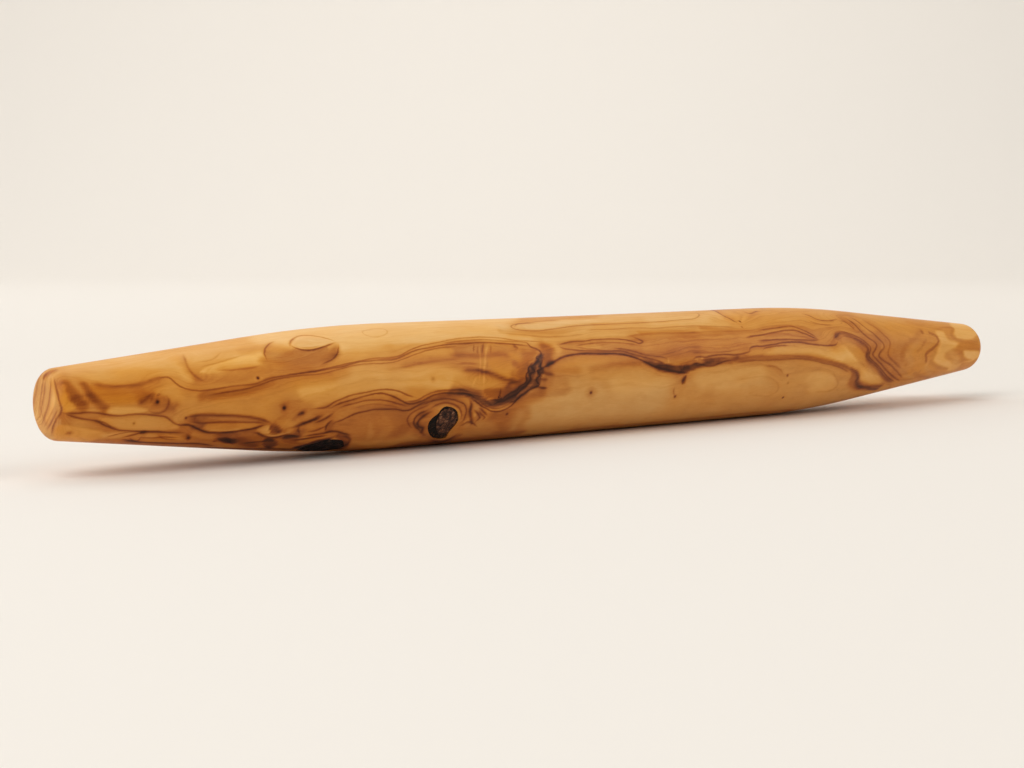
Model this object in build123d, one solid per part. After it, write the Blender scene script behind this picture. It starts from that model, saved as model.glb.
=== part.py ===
from build123d import *
import math
import os

# French rolling pin turned from one billet of olive wood, with no handles.
# A straight barrel runs into two tapers through long arcs that are tangent to both.
# Two dead knots are pieces of their own: stubs of branches that the wood grew round.
# Lengths are in millimetres and angles in degrees.
# The pin lies along X with its slimmer end at +X, Z points up,
# and the origin is on the pin's axis, half-way between its ends.

# The turned wood as a whole
overall_length = 457.0
barrel_diameter = 44.5
taper_blend_radius = 530.0

# The thick end, at -X
thick_end_diameter = 22.4
thick_end_taper_length = 102.0
thick_end_rim_radius = 4.0

# The slim end, at +X
slim_end_diameter = 20.0
slim_end_taper_length = 115.0
slim_end_rim_radius = 7.0

# Dead knots: each is a round branch that leaves the barrel's surface at a slant, so that
# turning has cut it to an oval. A place is counted along the pin from its middle. An angle
# goes round the pin from straight ahead (-Y) and is negative below it. A slant is counted
# from straight out of the wood, towards a bearing on the surface: 0 is +X, 90 is round and up.
# A depth is how far in the branch would end in a point.
front_knot_place = -86.0
front_knot_angle = -39.5
front_knot_width = 12.6
front_knot_slant = 42.0
front_knot_bearing = 105.0
front_knot_depth = 20.0

lower_knot_place = -131.0
lower_knot_angle = -65.0
lower_knot_width = 12.5
lower_knot_slant = 42.0
lower_knot_bearing = 195.0
lower_knot_depth = 18.0

# Bark round the front knot's heart: thick on the side of the thick end, thin on the other
# side, and shrunk a little below the turned surface
bark_thick_side = 2.9
bark_thin_side = 0.6
bark_shrinkage = 0.3

# How much of a branch's depth is bare of the branch, from its point to its blunt root
root_share = 0.3

# How far a cutting shape reaches past the wood that it cuts
overrun = 3.0


def turned_outline():
    """Half of the pin's long section, from end to end above the axis."""
    thick_tip = -overall_length / 2
    slim_tip = overall_length / 2
    barrel_edge = barrel_diameter / 2
    with BuildSketch() as section:
        with BuildLine():
            FilletPolyline(
                (thick_tip, 0),
                (thick_tip, thick_end_diameter / 2),
                (thick_tip + thick_end_taper_length, barrel_edge),
                (slim_tip - slim_end_taper_length, barrel_edge),
                (slim_tip, slim_end_diameter / 2),
                (slim_tip, 0),
                radius=[thick_end_rim_radius, taper_blend_radius, taper_blend_radius, slim_end_rim_radius],
            )
            Line((thick_tip, 0), (slim_tip, 0))
        make_face()
    return section.sketch


def turned_blank():
    """The pin as it leaves the lathe, before the knots are told apart from the wood."""
    return revolve(turned_outline(), Axis.X)


def straight_out(angle):
    """The direction away from the pin's axis at an angle round it."""
    return Vector(0, -math.cos(math.radians(angle)), math.sin(math.radians(angle)))


def branch_heading(angle, slant, bearing):
    """The direction in which a branch leaves the wood."""
    along_the_pin = Vector(1, 0, 0) * math.cos(math.radians(bearing))
    round_the_pin = straight_out(angle + 90) * math.sin(math.radians(bearing))
    across = (along_the_pin + round_the_pin) * math.sin(math.radians(slant))
    return straight_out(angle) * math.cos(math.radians(slant)) + across


def stub(point, centre, width, slant, from_share):
    """A round branch that swells from its point, is as wide as asked at its centre on the
    surface, and starts at a share of the way out."""
    growth = centre - point
    out = growth.length + overrun + width / 2 * math.tan(math.radians(slant))
    start = from_share * growth.length
    swelling = Cone(
        width / 2 * from_share,
        width / 2 * out / growth.length,
        out - start,
        align=(Align.CENTER, Align.CENTER, Align.MIN),
    )
    return Plane(point + growth * from_share, z_dir=growth) * swelling


def front_branch():
    """The branch of the front knot with its bark, and its heart, which starts deeper in."""
    centre = straight_out(front_knot_angle) * (barrel_diameter / 2) + Vector(front_knot_place, 0, 0)
    heading = branch_heading(front_knot_angle, front_knot_slant, front_knot_bearing)
    point = centre - heading * front_knot_depth
    heart_centre = centre + Vector((bark_thick_side - bark_thin_side) / 2, 0, 0)
    heart_width = front_knot_width - bark_thick_side - bark_thin_side
    whole = stub(point, centre, front_knot_width, front_knot_slant, root_share)
    heart = stub(point, heart_centre, heart_width, front_knot_slant, root_share / 2)
    return whole, heart


def lower_branch():
    """The branch of the lower knot."""
    centre = straight_out(lower_knot_angle) * (barrel_diameter / 2) + Vector(lower_knot_place, 0, 0)
    heading = branch_heading(lower_knot_angle, lower_knot_slant, lower_knot_bearing)
    point = centre - heading * lower_knot_depth
    return stub(point, centre, lower_knot_width, lower_knot_slant, root_share)


def pin_body(blank):
    """The turned wood with a pocket where each dead knot sits."""
    whole, _ = front_branch()
    return blank - whole - lower_branch()


def front_knot_bark(blank):
    """The ring of bark round the front knot, its face below the turned surface."""
    whole, heart = front_branch()
    shrunk = Rotation(0, 90, 0) * Cylinder(barrel_diameter / 2 - bark_shrinkage, overall_length)
    return (whole - heart) & blank & shrunk


def front_knot_core(blank):
    """The front knot's heart, turned flush with the barrel."""
    whole, heart = front_branch()
    return whole & heart & blank


def lower_knot(blank):
    """The lower knot, turned flush with the wood round it."""
    return lower_branch() & blank


def write_parts():
    """Write each piece to its own file."""
    blank = turned_blank()
    pieces = {
        "pin_body": pin_body(blank),
        "front_knot_bark": front_knot_bark(blank),
        "front_knot_core": front_knot_core(blank),
        "lower_knot": lower_knot(blank),
    }
    os.makedirs("parts", exist_ok=True)
    for name, piece in pieces.items():
        export_step(piece, f"parts/{name}.step")


write_parts()
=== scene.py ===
"""Looks of a French rolling pin in olive wood: its figure, its dead knots and its oiled finish.

Lengths are in millimetres until a mesh is made, which is in metres. An angle round the pin
is in degrees from straight ahead (-Y), and 90 is its top. What the photograph shows is given
as pixels of its 1024 by 768 frame, and the camera carries them onto the wood. The far side,
which it doesn't show, is given as (place along the pin, angle).
"""

import math

import bmesh
import bpy
import numpy as np
from mathutils import Matrix, Vector, noise


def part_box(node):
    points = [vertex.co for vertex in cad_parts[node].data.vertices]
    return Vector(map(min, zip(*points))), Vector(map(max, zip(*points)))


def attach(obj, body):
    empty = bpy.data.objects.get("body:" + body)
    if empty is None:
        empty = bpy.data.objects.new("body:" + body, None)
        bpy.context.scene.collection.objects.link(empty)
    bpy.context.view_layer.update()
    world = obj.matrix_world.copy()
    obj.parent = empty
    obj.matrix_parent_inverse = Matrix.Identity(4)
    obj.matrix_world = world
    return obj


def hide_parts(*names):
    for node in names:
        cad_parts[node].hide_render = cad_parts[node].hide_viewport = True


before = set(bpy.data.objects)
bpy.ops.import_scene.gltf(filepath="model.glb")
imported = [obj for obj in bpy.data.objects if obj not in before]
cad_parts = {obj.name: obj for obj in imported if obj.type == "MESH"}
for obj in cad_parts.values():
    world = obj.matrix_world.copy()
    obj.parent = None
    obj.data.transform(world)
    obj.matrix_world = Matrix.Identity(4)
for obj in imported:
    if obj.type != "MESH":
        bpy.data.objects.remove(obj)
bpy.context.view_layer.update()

MM = 0.001
BODY = "root"

# The turned shape, as the frame has it
LOW_CORNER, HIGH_CORNER = (np.array(corner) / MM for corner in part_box("pin_body"))
HALF_LENGTH = (HIGH_CORNER[0] - LOW_CORNER[0]) / 2
BARREL_RADIUS = (HIGH_CORNER[2] - LOW_CORNER[2]) / 2
THICK_END_RADIUS = 11.2
SLIM_END_RADIUS = 10.0
THICK_END_TAPER = 102.0
SLIM_END_TAPER = 115.0
TAPER_BLEND_RADIUS = 530.0
THICK_END_RIM = 4.0
SLIM_END_RIM = 7.0

# How far the seasoned pin's ends stand above its middle
WARP = 0.93

# The camera, and the frame that the pixels are in
CAMERA_PLACE = np.array((-501.28, -573.63, 59.35))
CAMERA_HEADING = math.radians(38.803)
CAMERA_PITCH = math.radians(4.790)
CAMERA_LENS = 69.44
SENSOR_WIDTH = 36.0
FRAME_WIDTH = 1024
FRAME_HEIGHT = 768
FOCAL = CAMERA_LENS / SENSOR_WIDTH * FRAME_WIDTH

# Mesh of the turned wood
STATIONS = 560
SIDES = 168

# Dead knots: where each stands, and how its branch ran down to its root
FRONT_KNOT = {"place": -86.0, "angle": -39.5, "slant": 42.0, "bearing": 105.0, "depth": 20.0}
LOWER_KNOT = {"place": -131.0, "angle": -65.0, "slant": 42.0, "bearing": 195.0, "depth": 18.0}
BARK_SHRINKAGE = 0.3

# Outlines of the front knot in the photograph
FRONT_BARK_OUTLINE = [
    (446.8, 406.1), (456.5, 409.7), (458.9, 418.8), (456.5, 423.6), (452.3, 428.5), (448.6, 433.3),
    (446.8, 437), (438.9, 438.8), (431.7, 437), (428, 431), (428, 424.8), (431, 419.4), (438.9, 412.7),
    (441.4, 409),
]
FRONT_HEART_OUTLINE = [
    (446, 409.5), (454, 411.5), (456.8, 418.5), (454.5, 424), (450.5, 429), (446.5, 434), (443, 436),
    (439.5, 435), (437, 430.5), (436.5, 424), (438.5, 417.5), (441.5, 412),
]
# Half the lower knot's length and width on the surface, and how far its outline strays
LOWER_KNOT_HALF_LENGTH = 8.6
LOWER_KNOT_HALF_WIDTH = 6.1
LOWER_KNOT_STRAY = 0.5


# Figure: the dark lines. A line has its points, half its width in millimetres, how dark it is,
# how strong the shade beside it is, and the side that the shade is on: +1 is left of its way,
# which is above it where it runs to the right. A darkness below 0 makes the wood paler.
def line(points, width, dark, shade=0.0, side=-1, wild=0.0, far_side=False, closed=False):
    return {
        "points": points, "width": width, "dark": dark, "shade": shade, "side": side, "wild": wild,
        "far_side": far_side, "closed": closed,
    }


LINES = {
    # The thick end's face
    "end_stripe_outer": line([(44, 376), (41.5, 388), (40, 400), (39, 412), (41, 422)], 0.55, 0.2, 0.1),
    "end_stripe_middle": line(
        [(47, 376), (45, 386), (44.3, 394), (42.5, 402), (41.5, 412), (44, 420)], 0.62, 0.3, 0.15),
    "end_stripe_inner": line(
        [(51, 376), (50.3, 389), (48.5, 403), (45, 415), (41, 427)], 0.5, 0.28, 0.2, 1),
    "end_crease": line(
        [(53.5, 376), (56, 388), (59.6, 401.7), (61.4, 410), (56.5, 419), (52.5, 428), (51, 436)],
        0.4, 0.38, 0.25, 1),
    "end_low_stripe": line([(60, 406), (54, 417), (50, 425), (45, 431)], 0.5, 0.3, 0.15),
    "end_low_stripe_outer": line([(56, 404), (51, 414), (46, 424), (43, 428)], 0.5, 0.24, 0.1),
    # The thick taper
    "low_vein": line(
        [(62.5, 412.8), (72.5, 413.2), (88, 412.8), (98, 413.3), (106.7, 414.6), (120, 415.5),
         (130.6, 414.4), (144, 413.9), (158, 416), (165, 417), (170, 420), (173.4, 422.5), (180, 425),
         (192, 424)],
        0.36, 0.46, 0.15),
    "lower_vein": line(
        [(62.5, 412.8), (72.5, 416.8), (84.4, 419.2), (96.4, 421.3), (106.7, 426.3), (117, 430),
         (130.6, 431), (144, 431.3), (158, 431.5), (172, 432.5), (186, 433)],
        0.36, 0.44, 0.2, 1),
    "lower_vein_echo": line([(90, 419), (103, 422), (112, 427), (122, 430)], 0.3, 0.3, 0.1),
    "wedge_edge": line(
        [(103, 438.7), (112, 435.5), (124, 432.7), (137, 431.4), (150, 432), (170, 433)],
        0.32, 0.36, 0.2),
    "wedge_under": line(
        [(118.7, 438.5), (127, 436.5), (134, 434.5), (141, 432.5), (148, 431.3)], 0.4, 0.5, 0.2),
    "wedge_spot": line([(139, 433), (144, 432), (148, 431.5)], 0.8, 0.6, 0.3),
    "bottom_vein": line(
        [(120, 439), (130, 440.7), (140, 442), (158, 442.7), (180, 443.3), (199, 443.6), (215, 446)],
        0.45, 0.6, 0.4),
    "bottom_vein_top": line([(134, 437), (150, 438), (165, 437), (182, 438)], 0.4, 0.3, 0.2),
    "small_knot_arc": line([(136, 406), (142, 402.5), (148, 398), (153, 394)], 1.1, 0.4, 0.3, 1),
    "small_knot_ring": line(
        [(165, 393), (168.5, 398), (168.5, 404), (165, 410), (159, 413), (152, 412), (147, 408)],
        0.45, 0.25, 0.25, 1),
    "rust_dot": line([(65, 433), (69, 433), (74, 432.5)], 1.0, 0.4),
    # Above the long vein, left
    "left_curve": line(
        [(183, 353), (185.5, 361), (190, 370.5), (198, 378), (207.6, 383)], 0.45, 0.24, 0.2),
    "pale_lens_top": line(
        [(200, 368), (204, 366), (212, 364), (222, 361), (232, 358.5), (244, 355)], 0.35, 0.22),
    "pale_lens_foot": line(
        [(262, 364.5), (255, 367), (245, 368.5), (232, 370), (214, 370)], 0.4, 0.25, 0.25),
    "faint_high": line([(194, 362.5), (206, 361), (216, 357), (222, 351)], 0.3, 0.2),
    "bracket": line(
        [(276, 341), (270, 343), (266, 347), (264.5, 353), (266, 358), (268, 362)], 0.35, 0.45, 0.2, 1),
    "oval_top": line(
        [(289.3, 345.5), (290, 342), (293, 338.7), (299.5, 336), (310.5, 335.6), (323.4, 337.5),
         (331, 340), (337, 342.6)],
        0.36, 0.4),
    "oval_foot": line(
        [(289.3, 344.5), (292, 346.5), (296, 348), (301, 349.5), (307, 350), (313, 349.7), (318, 348.7),
         (327, 345.7), (332, 344), (337, 342.3)],
        0.45, 0.66, 0.12),
    "oval_inner": line([(296, 346), (303, 347.3), (312, 347.3), (322, 345)], 0.3, 0.3),
    "oval_hook": line(
        [(337, 342.5), (338.6, 346), (338, 352), (335.5, 356), (332.7, 359), (325, 363.5), (319.8, 366)],
        0.32, 0.42, 0.2),
    "faint_ring_high": line(
        [(362, 332), (372, 329), (384, 329), (388, 332), (382, 336), (370, 336.5)],
        0.3, 0.16, closed=True),
    # The long vein from the thick end to the ray fleck, with the lines beside it
    "long_vein": line(
        [(160, 377.5), (168, 377.3), (173, 380.5), (178.5, 385.5), (187, 389.3), (199, 390.8),
         (216, 389.5), (233, 386.3), (255.5, 383.5), (267.5, 378.8), (284, 376), (300, 373.8), (318, 371),
         (330, 369), (345, 366), (352, 364), (360, 362), (370, 361), (380, 360), (390, 359.5), (398, 358),
         (405, 355), (412, 352), (420, 349.5), (430, 347.5), (440, 345.5), (450, 344.2), (460, 343.8),
         (470, 343.3), (480, 342.7), (500, 343.2), (510, 344), (518, 345), (527, 346)],
        0.34, 0.46, 0.05),
    "long_vein_under": line(
        [(209, 395.5), (222, 393), (233, 391.3), (250, 387.8), (262, 384), (270, 380.8), (285, 377.8),
         (300, 376), (320, 374), (332, 371.5), (348, 367), (355, 365.3), (370, 363.8), (384, 363.5),
         (395, 361.8), (402, 359.5), (410, 356.5), (420, 353), (425, 351), (435, 348.5), (445, 347),
         (455, 346.5)],
        0.28, 0.36, 0.04),
    "long_vein_top": line(
        [(288, 374.7), (307, 372.6), (325, 368.8), (343.7, 364.4), (358.4, 361.6), (373, 358.6),
         (388, 357.8), (399, 355.8), (410, 350.5), (421, 346), (436, 342.6), (451, 339.9), (465, 338),
         (482, 337), (500, 338), (515, 340.3), (528, 341), (540, 341.3)],
        0.3, 0.4, 0.03),
    "fleck_edge": line(
        [(522, 341), (527, 343), (530.5, 347), (535, 348.6), (538.5, 350), (541, 352.5), (540.5, 356),
         (538, 359)],
        0.42, 0.55, 0.15),
    # Bands under the long vein
    "band_line_right": line(
        [(384, 370), (400, 368), (416, 364.5), (430, 361.5), (445, 360), (460, 358.5)], 0.6, 0.14, 0.12),
    "band_line_low": line([(455, 365), (462, 363), (470, 363), (480, 363.5)], 0.5, 0.3),
    # The curved vein over the front knot
    "knot_vein_top": line(
        [(311, 408.8), (320, 407.8), (327, 406.6), (334.5, 402), (342, 398.5), (350, 395.8),
         (357.5, 393.9), (365, 392.4), (373, 390.5), (380.6, 389.3), (388.3, 389.3), (396, 390.5),
         (403.7, 393.5), (411.4, 396.2), (417, 397.6)],
        0.34, 0.5, 0.04),
    "knot_vein": line(
        [(330, 408), (338, 404), (346, 401.5), (354, 399.3), (362, 397), (370, 395), (377.5, 393.6),
         (383, 393.5), (388.3, 395), (396, 397.8), (403.7, 402), (409.8, 404.3), (415, 403.6),
         (418, 402.5), (424, 400), (429, 397.5), (436, 394.5), (444, 393.2), (454, 393), (464, 393.3),
         (470, 395), (476, 399)],
        0.36, 0.54, 0.08),
    "knot_vein_under": line(
        [(352, 409), (365, 405.5), (380, 404.5), (392, 406), (402, 408.3)], 0.28, 0.2, 0.08),
    "knot_vein_low": line(
        [(332, 425.8), (334.5, 422.8), (342, 420), (350, 415.8), (357.5, 413), (365, 411.2), (373, 409.3),
         (380.6, 409), (388, 409), (396, 409.2), (403.7, 410.5), (409, 410), (415, 407.4), (423, 403),
         (430, 401)],
        0.38, 0.52, 0.18),
    "knot_vein_high": line(
        [(404, 401), (412, 401.5), (418, 400), (424, 396.5), (431, 393), (440, 390.8), (450, 390),
         (462, 389.7), (472, 392)],
        0.36, 0.46, 0.14),
    "knot_vein_start_low": line([(312, 424), (320, 421), (328, 417), (336, 411)], 0.5, 0.5, 0.3),
    "hook_low": line([(334, 419), (329, 423), (326, 427), (326, 432)], 0.45, 0.55, 0.2, 1),
    # The lens, and the lines from it over the lower knot
    "lens_top": line(
        [(184, 418.5), (189, 416.5), (199, 415.2), (213, 415), (225, 415.2), (240, 416), (252, 417.3),
         (264, 420.3), (273, 424)],
        0.55, 0.42, 0.35),
    "lens_foot": line(
        [(178, 425), (186, 424.3), (192, 425.7), (196.5, 428.3), (200.8, 430.3), (206, 432), (213, 432.6),
         (224, 432.3), (233, 431.6), (243, 430.3), (252, 428.6), (260, 426.4), (267.5, 424.8)],
        0.45, 0.6, 0.3),
    "lens_inner": line(
        [(187, 421.5), (197, 422.8), (207, 422.9), (220, 422), (233, 421.9), (247, 422.4), (258, 422.6),
         (266, 424)],
        0.42, 0.4, 0.15, 1),
    "under_lens": line(
        [(250, 433), (257, 433), (263, 435.5), (270, 437.5), (278, 437), (285, 435), (292, 435.5),
         (300, 437)],
        0.5, 0.62, 0.3),
    "to_lower_knot": line(
        [(288, 440), (300, 439.5), (312, 437.5), (322, 436), (330, 435)], 0.5, 0.65, 0.3),
    "over_lower_knot": line(
        [(300, 437), (312, 434.8), (325, 433), (331, 431.5), (338, 431.5), (344, 433.5), (352, 436)],
        0.5, 0.6, 0.3),
    "beside_lower_knot": line(
        [(338, 437), (346, 436.5), (350, 440), (346, 445), (338, 448)], 0.6, 0.5, 0.2),
    "low_trail": line([(200, 447), (240, 448.5), (275, 449), (300, 449.5)], 0.8, 0.55, 0.3),
    "tail_cross": line([(330, 424), (322, 428), (314, 431), (305, 432)], 0.4, 0.4, 0.2),
    # Curls round the front knot
    "curl_a": line(
        [(431, 407), (426, 411), (420, 413.5), (415.5, 417), (413.5, 422), (416, 427), (419.5, 430),
         (421, 434)],
        0.42, 0.5, 0.2, 1),
    "knot_foot": line([(430, 440), (440, 441.5), (450, 439), (458, 433)], 0.8, 0.4, 0.3),
    # Under the crinkled band, and right of it
    "crinkle_foot": line(
        [(470, 398.5), (475, 401.5), (480, 405), (486, 408.3), (491, 411), (497, 411.8), (503, 410.5),
         (508, 408), (513, 403.8), (517, 399.8), (521, 395.3), (526, 391)],
        0.36, 0.6, 0.1),
    "crinkle_foot_inner": line(
        [(478, 401), (484, 405), (490, 407.5), (497, 408.5), (503, 407), (508, 404)], 0.4, 0.4, 0.1),
    "spike_high": line([(540, 371), (546, 373), (556, 374.5)], 0.7, 0.4, 0.2),
    "spike_low": line([(532, 386.5), (540, 387.3), (549, 387.8)], 0.4, 0.35, 0.15),
    # The top of the middle
    "top_line": line(
        [(535, 323), (523, 323.5), (513, 325), (511, 327), (515, 329), (525.7, 330.4), (537.6, 330.7),
         (551, 329.2), (568.4, 326.6), (585.5, 325.2), (602, 324.4), (619.7, 323.8), (654, 322),
         (679.6, 320), (696.7, 317.8), (699, 314.5), (696, 312.5)],
        0.3, 0.36, 0.12),
    "top_loop": line([(514, 328), (516, 324.5), (526, 322.8), (540, 321.5), (560, 320)], 0.32, 0.28, 0.1),
    "top_line_low": line(
        [(500, 333), (520, 334.5), (545, 337), (562, 336.5), (585, 334)], 0.4, 0.2, 0.08),
    "top_line_mid": line(
        [(585, 330), (612, 329), (640, 328), (655, 328.3), (670, 327), (700, 326), (735, 327)],
        0.34, 0.28, 0.08),
    "top_line_three": line(
        [(625, 336.5), (640, 334), (655, 333), (680, 332.5), (700, 332)], 0.4, 0.2, 0.08),
    # The island
    "island_top": line(
        [(558, 345), (565, 343), (575, 341.5), (585, 341), (592, 339.8), (612, 339), (622, 339.5),
         (633, 341.5), (640, 343.5), (643, 341.5), (638, 339), (632, 336.5)],
        0.36, 0.5, 0.1),
    "island_foot": line(
        [(558, 345), (562, 348), (570, 349.5), (580, 350.7), (600, 351), (622, 351.5), (632, 354),
         (640, 356), (650, 359), (658, 361), (664, 363)],
        0.36, 0.42, 0.18),
    "island_inner": line(
        [(574, 346.5), (583, 344.3), (600, 342.8), (615, 342.6), (630, 344), (640, 345)], 0.3, 0.32, 0.1),
    "island_inner_low": line([(574, 346.5), (583, 348.5), (592, 349.3), (605, 350)], 0.28, 0.3),
    "island_second": line(
        [(612, 347.5), (628, 350), (638, 352.5), (645, 355), (655, 356.5), (663, 357.5), (670, 360)],
        0.33, 0.34, 0.18),
    # The long arch and its drip
    "arch": line(
        [(540, 369.5), (546, 366), (550, 363.8), (554.5, 361.8), (563, 357.2), (573.6, 354.8),
         (589, 353.5), (609.5, 353.8), (626.6, 355.2), (636, 358), (647, 363), (655, 367), (667.6, 369.9),
         (675, 371.3), (682, 372), (687, 373)],
        0.48, 0.66, 0.26),
    "arch_left": line([(545, 366.5), (550, 363.2), (556, 361)], 0.9, 0.6, 0.2, 1),
    "arch_fill": line(
        [(645, 360.5), (652, 364), (660, 367), (670, 368.5), (680, 369)], 1.0, 0.3, 0.1, 1, wild=0.2),
    "arch_fill_top": line(
        [(655, 362), (662, 363.5), (668, 365.5), (677, 366.5)], 0.6, 0.4, 0.1, wild=0.3),
    "blob": line([(681, 371.5), (684.5, 369), (688, 366.5), (690, 363)], 1.2, 0.5, 0.1, wild=0.2),
    "blob_right": line(
        [(688, 366.5), (694, 364.5), (700, 365.5), (707, 363.5), (714, 363.5)], 0.6, 0.3, 0.1, wild=0.2),
    "soft_band": line([(585, 369), (600, 366.5), (614, 364), (630, 363), (642, 363.5)], 1.4, 0.14, 0.1),
    "drip": line([(686.5, 374), (686, 376.5), (683.5, 379), (682.5, 382), (682, 385)], 0.7, 0.5, 0.2),
    "drip_tail": line([(675, 386), (673.5, 391), (675, 397)], 0.4, 0.25, 0.1),
    "halo": line([(586, 392), (591, 388), (596.5, 392), (591, 397)], 0.9, 0.1, closed=True),
    # The right arm and the broad band that goes on from it
    "right_arm": line(
        [(690, 366), (697, 363.5), (703, 365.2), (712, 365.5), (720, 363), (726, 361), (735, 359.5)],
        0.4, 0.48, 0.12),
    "right_arm_top": line(
        [(692, 361), (695, 358), (700, 357), (706, 357.5), (712, 356), (725, 354.5), (735, 354.8),
         (742, 354), (748, 352), (752, 350)],
        0.38, 0.5, 0.12),
    "right_arm_mid": line([(700, 361), (708, 359.5), (718, 359), (730, 358)], 0.5, 0.3, 0.1),
    "right_arm_faint": line([(690, 352), (705, 353), (720, 352.3), (735, 350)], 0.36, 0.25, 0.1),
    "broad_band": line(
        [(728, 361), (735, 359.3), (750, 358), (760, 357.3), (775, 357), (800, 356.3), (812, 358),
         (825, 360.5), (836, 363.3), (845, 366.5), (852, 369.5), (857, 371.5)],
        1.05, 0.34, 0.1),
    "broad_band_down": line(
        [(853, 370), (857, 373), (858.5, 377), (856, 382), (858, 386), (865, 387), (874, 387),
         (884, 386)],
        1.3, 0.5, 0.25, 1),
    "broad_band_edge": line(
        [(735, 362), (755, 360.5), (780, 359.5), (803, 359), (822, 362.5), (840, 367.5), (850, 373)],
        0.4, 0.3, 0.1),
    # Under the right arm
    "arc_low": line([(763, 366), (773, 366), (780, 369.5), (785, 375)], 0.5, 0.2, 0.1),
    "ring_pale": line(
        [(735, 380), (750, 378), (765, 377), (776, 381), (778, 390), (768, 396), (750, 395)], 0.5, 0.12),
    "ring_pale_right": line(
        [(806, 372), (820, 370), (834, 375), (838, 384), (830, 391), (814, 392)], 0.6, 0.14),
    # Brackets and loops of the slim taper
    "slim_bracket": line(
        [(749, 352), (750, 348.5), (755, 346.3), (762, 346), (768, 345), (775, 344), (782, 342.7),
         (790, 342.2), (800, 342.2), (812, 344), (828, 345.3), (836, 344.5), (838, 341)],
        0.38, 0.55, 0.1),
    "slim_bracket_inner": line(
        [(762, 352), (764, 348.5), (770, 347), (778, 345.5), (790, 345)], 0.34, 0.45),
    "loop_top": line(
        [(745, 337.5), (752, 336), (760, 335), (770, 333), (780, 331.3), (788, 330.3), (795, 330.3),
         (803, 333), (810, 336), (816, 338.8), (820, 340.3)],
        0.36, 0.5, 0.2),
    "loop_foot": line(
        [(820, 340.5), (812, 340.3), (800, 340), (785, 339.3), (770, 340), (757, 341.3)],
        0.36, 0.45, 0.2, 1),
    "loop_outer": line(
        [(758, 330.5), (765, 329.5), (775, 328), (790, 326.3), (797, 327.8), (805, 331), (812, 334.7),
         (818, 338.5)],
        0.34, 0.42, 0.2, 1),
    "far_hook": line(
        [(834, 341), (835.5, 337), (837.5, 333.8), (841, 333.3), (846, 335), (852, 337.3), (858, 340.3),
         (864, 344), (868, 348.5), (868, 352), (867, 355.5), (869.5, 360.5), (876, 366.5), (881, 373),
         (886, 379), (892, 382)],
        1.1, 0.42, 0.14, 1),
    "far_hook_edge": line(
        [(839, 331), (846, 332.5), (853, 335), (860, 338.5), (866, 342.5), (870.5, 347.5), (870, 352),
         (869, 355.5), (872, 360), (878, 365.5), (883.5, 372), (889, 378), (895, 381.5)],
        0.34, 0.4),
    "stream_a": line(
        [(843, 317), (850, 321), (856, 326), (862, 332.5), (868, 337.5), (873, 341), (876.5, 345),
         (875, 350), (872.5, 354.5), (876, 359), (881, 364), (886, 370), (892, 376), (900, 381)],
        0.5, 0.4, 0.1, 1),
    "stream_b": line(
        [(848, 316), (856, 320.5), (862, 325), (868, 329.7), (874, 334), (879, 339), (883.5, 344),
         (884, 348), (880.5, 352), (878.5, 356), (884, 361), (892, 366), (897, 372), (903, 378)],
        0.5, 0.36, 0.1, 1),
    "stream_c": line(
        [(860, 318), (868, 323), (876, 328), (884, 335), (890, 342), (889, 349), (888, 355), (894, 362),
         (902, 369)],
        0.6, 0.22, 0.1, 1),
    "stream_small": line([(838, 320), (845, 322), (850, 325.5), (856, 331)], 0.4, 0.4, 0.15, 1),
    "top_curl": line([(800, 313), (810, 316), (818, 319.7), (830, 320.7), (838, 319)], 0.36, 0.42, 0.2),
    "top_curl_low": line([(806, 319), (812, 322), (822, 324.5), (834, 325)], 0.34, 0.3, 0.1),
    "ridge_curve": line(
        [(700, 310), (708, 309.7), (715, 311), (722, 315), (730, 319), (740, 324.5)], 0.42, 0.4, 0.3, 1),
    "ridge_patch": line([(702, 310.3), (715, 309.2), (728, 309.2)], 1.0, 0.5, 0.3),
    "ridge_specks": line([(742, 311), (750, 313.5), (757, 311), (763, 313)], 0.5, 0.4, 0.2, wild=0.2),
    # Finer lines, laid after the ones above: along the long vein and over the ray fleck
    "vein_left_end": line(
        [(88, 382), (105, 386), (122, 386), (137, 384.5), (148, 381), (158, 378), (168, 377)],
        0.8, 0.18, 0.3),
    "long_vein_inner": line(
        [(442, 343), (455, 341.8), (470, 340.2), (485, 339.6), (505, 341), (522, 342), (531, 344)],
        0.26, 0.3, 0.1),
    "red_dash": line([(512, 344), (515, 346.5), (519, 349)], 0.7, 0.34, 0.2),
    "fleck_dash_a": line([(474, 343.5), (473.5, 348), (474, 353.5)], 0.35, 0.34),
    "fleck_dash_b": line([(484, 342.5), (482.7, 348), (482, 355)], 0.5, 0.42, 0.1),
    "fleck_dash_c": line([(478, 345), (477.5, 350), (477, 355)], 0.35, 0.22),
    "fleck_dash_d": line([(491, 344), (490.6, 348), (490.6, 354)], 0.45, 0.26),
    "fleck_pale": line(
        [(488, 343), (486.5, 350), (485.5, 358), (484.5, 368), (484, 378), (484, 388)], 0.5, -0.3),
    "fleck_pale_left": line(
        [(479.5, 343), (479.5, 350), (480.5, 358), (480, 372), (479, 384)], 0.35, -0.2),
    "fleck_pale_low": line([(478, 376), (474, 382), (472, 389)], 0.5, -0.16),
    "fleck_dark_low": line([(488, 360), (487.5, 366), (487.5, 370)], 0.4, 0.12),
    "band_comb": line(
        [(448, 354), (460, 355), (474, 355), (486, 354.5), (500, 354), (514, 356)], 1.3, 0.24, 0.2),
    "brown_dash": line(
        [(460, 370.5), (468, 369.5), (476, 370), (484, 371.5), (492, 373.5), (500, 377), (508, 380),
         (516, 381.5), (523, 383)],
        0.95, 0.42, 0.3),
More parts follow.
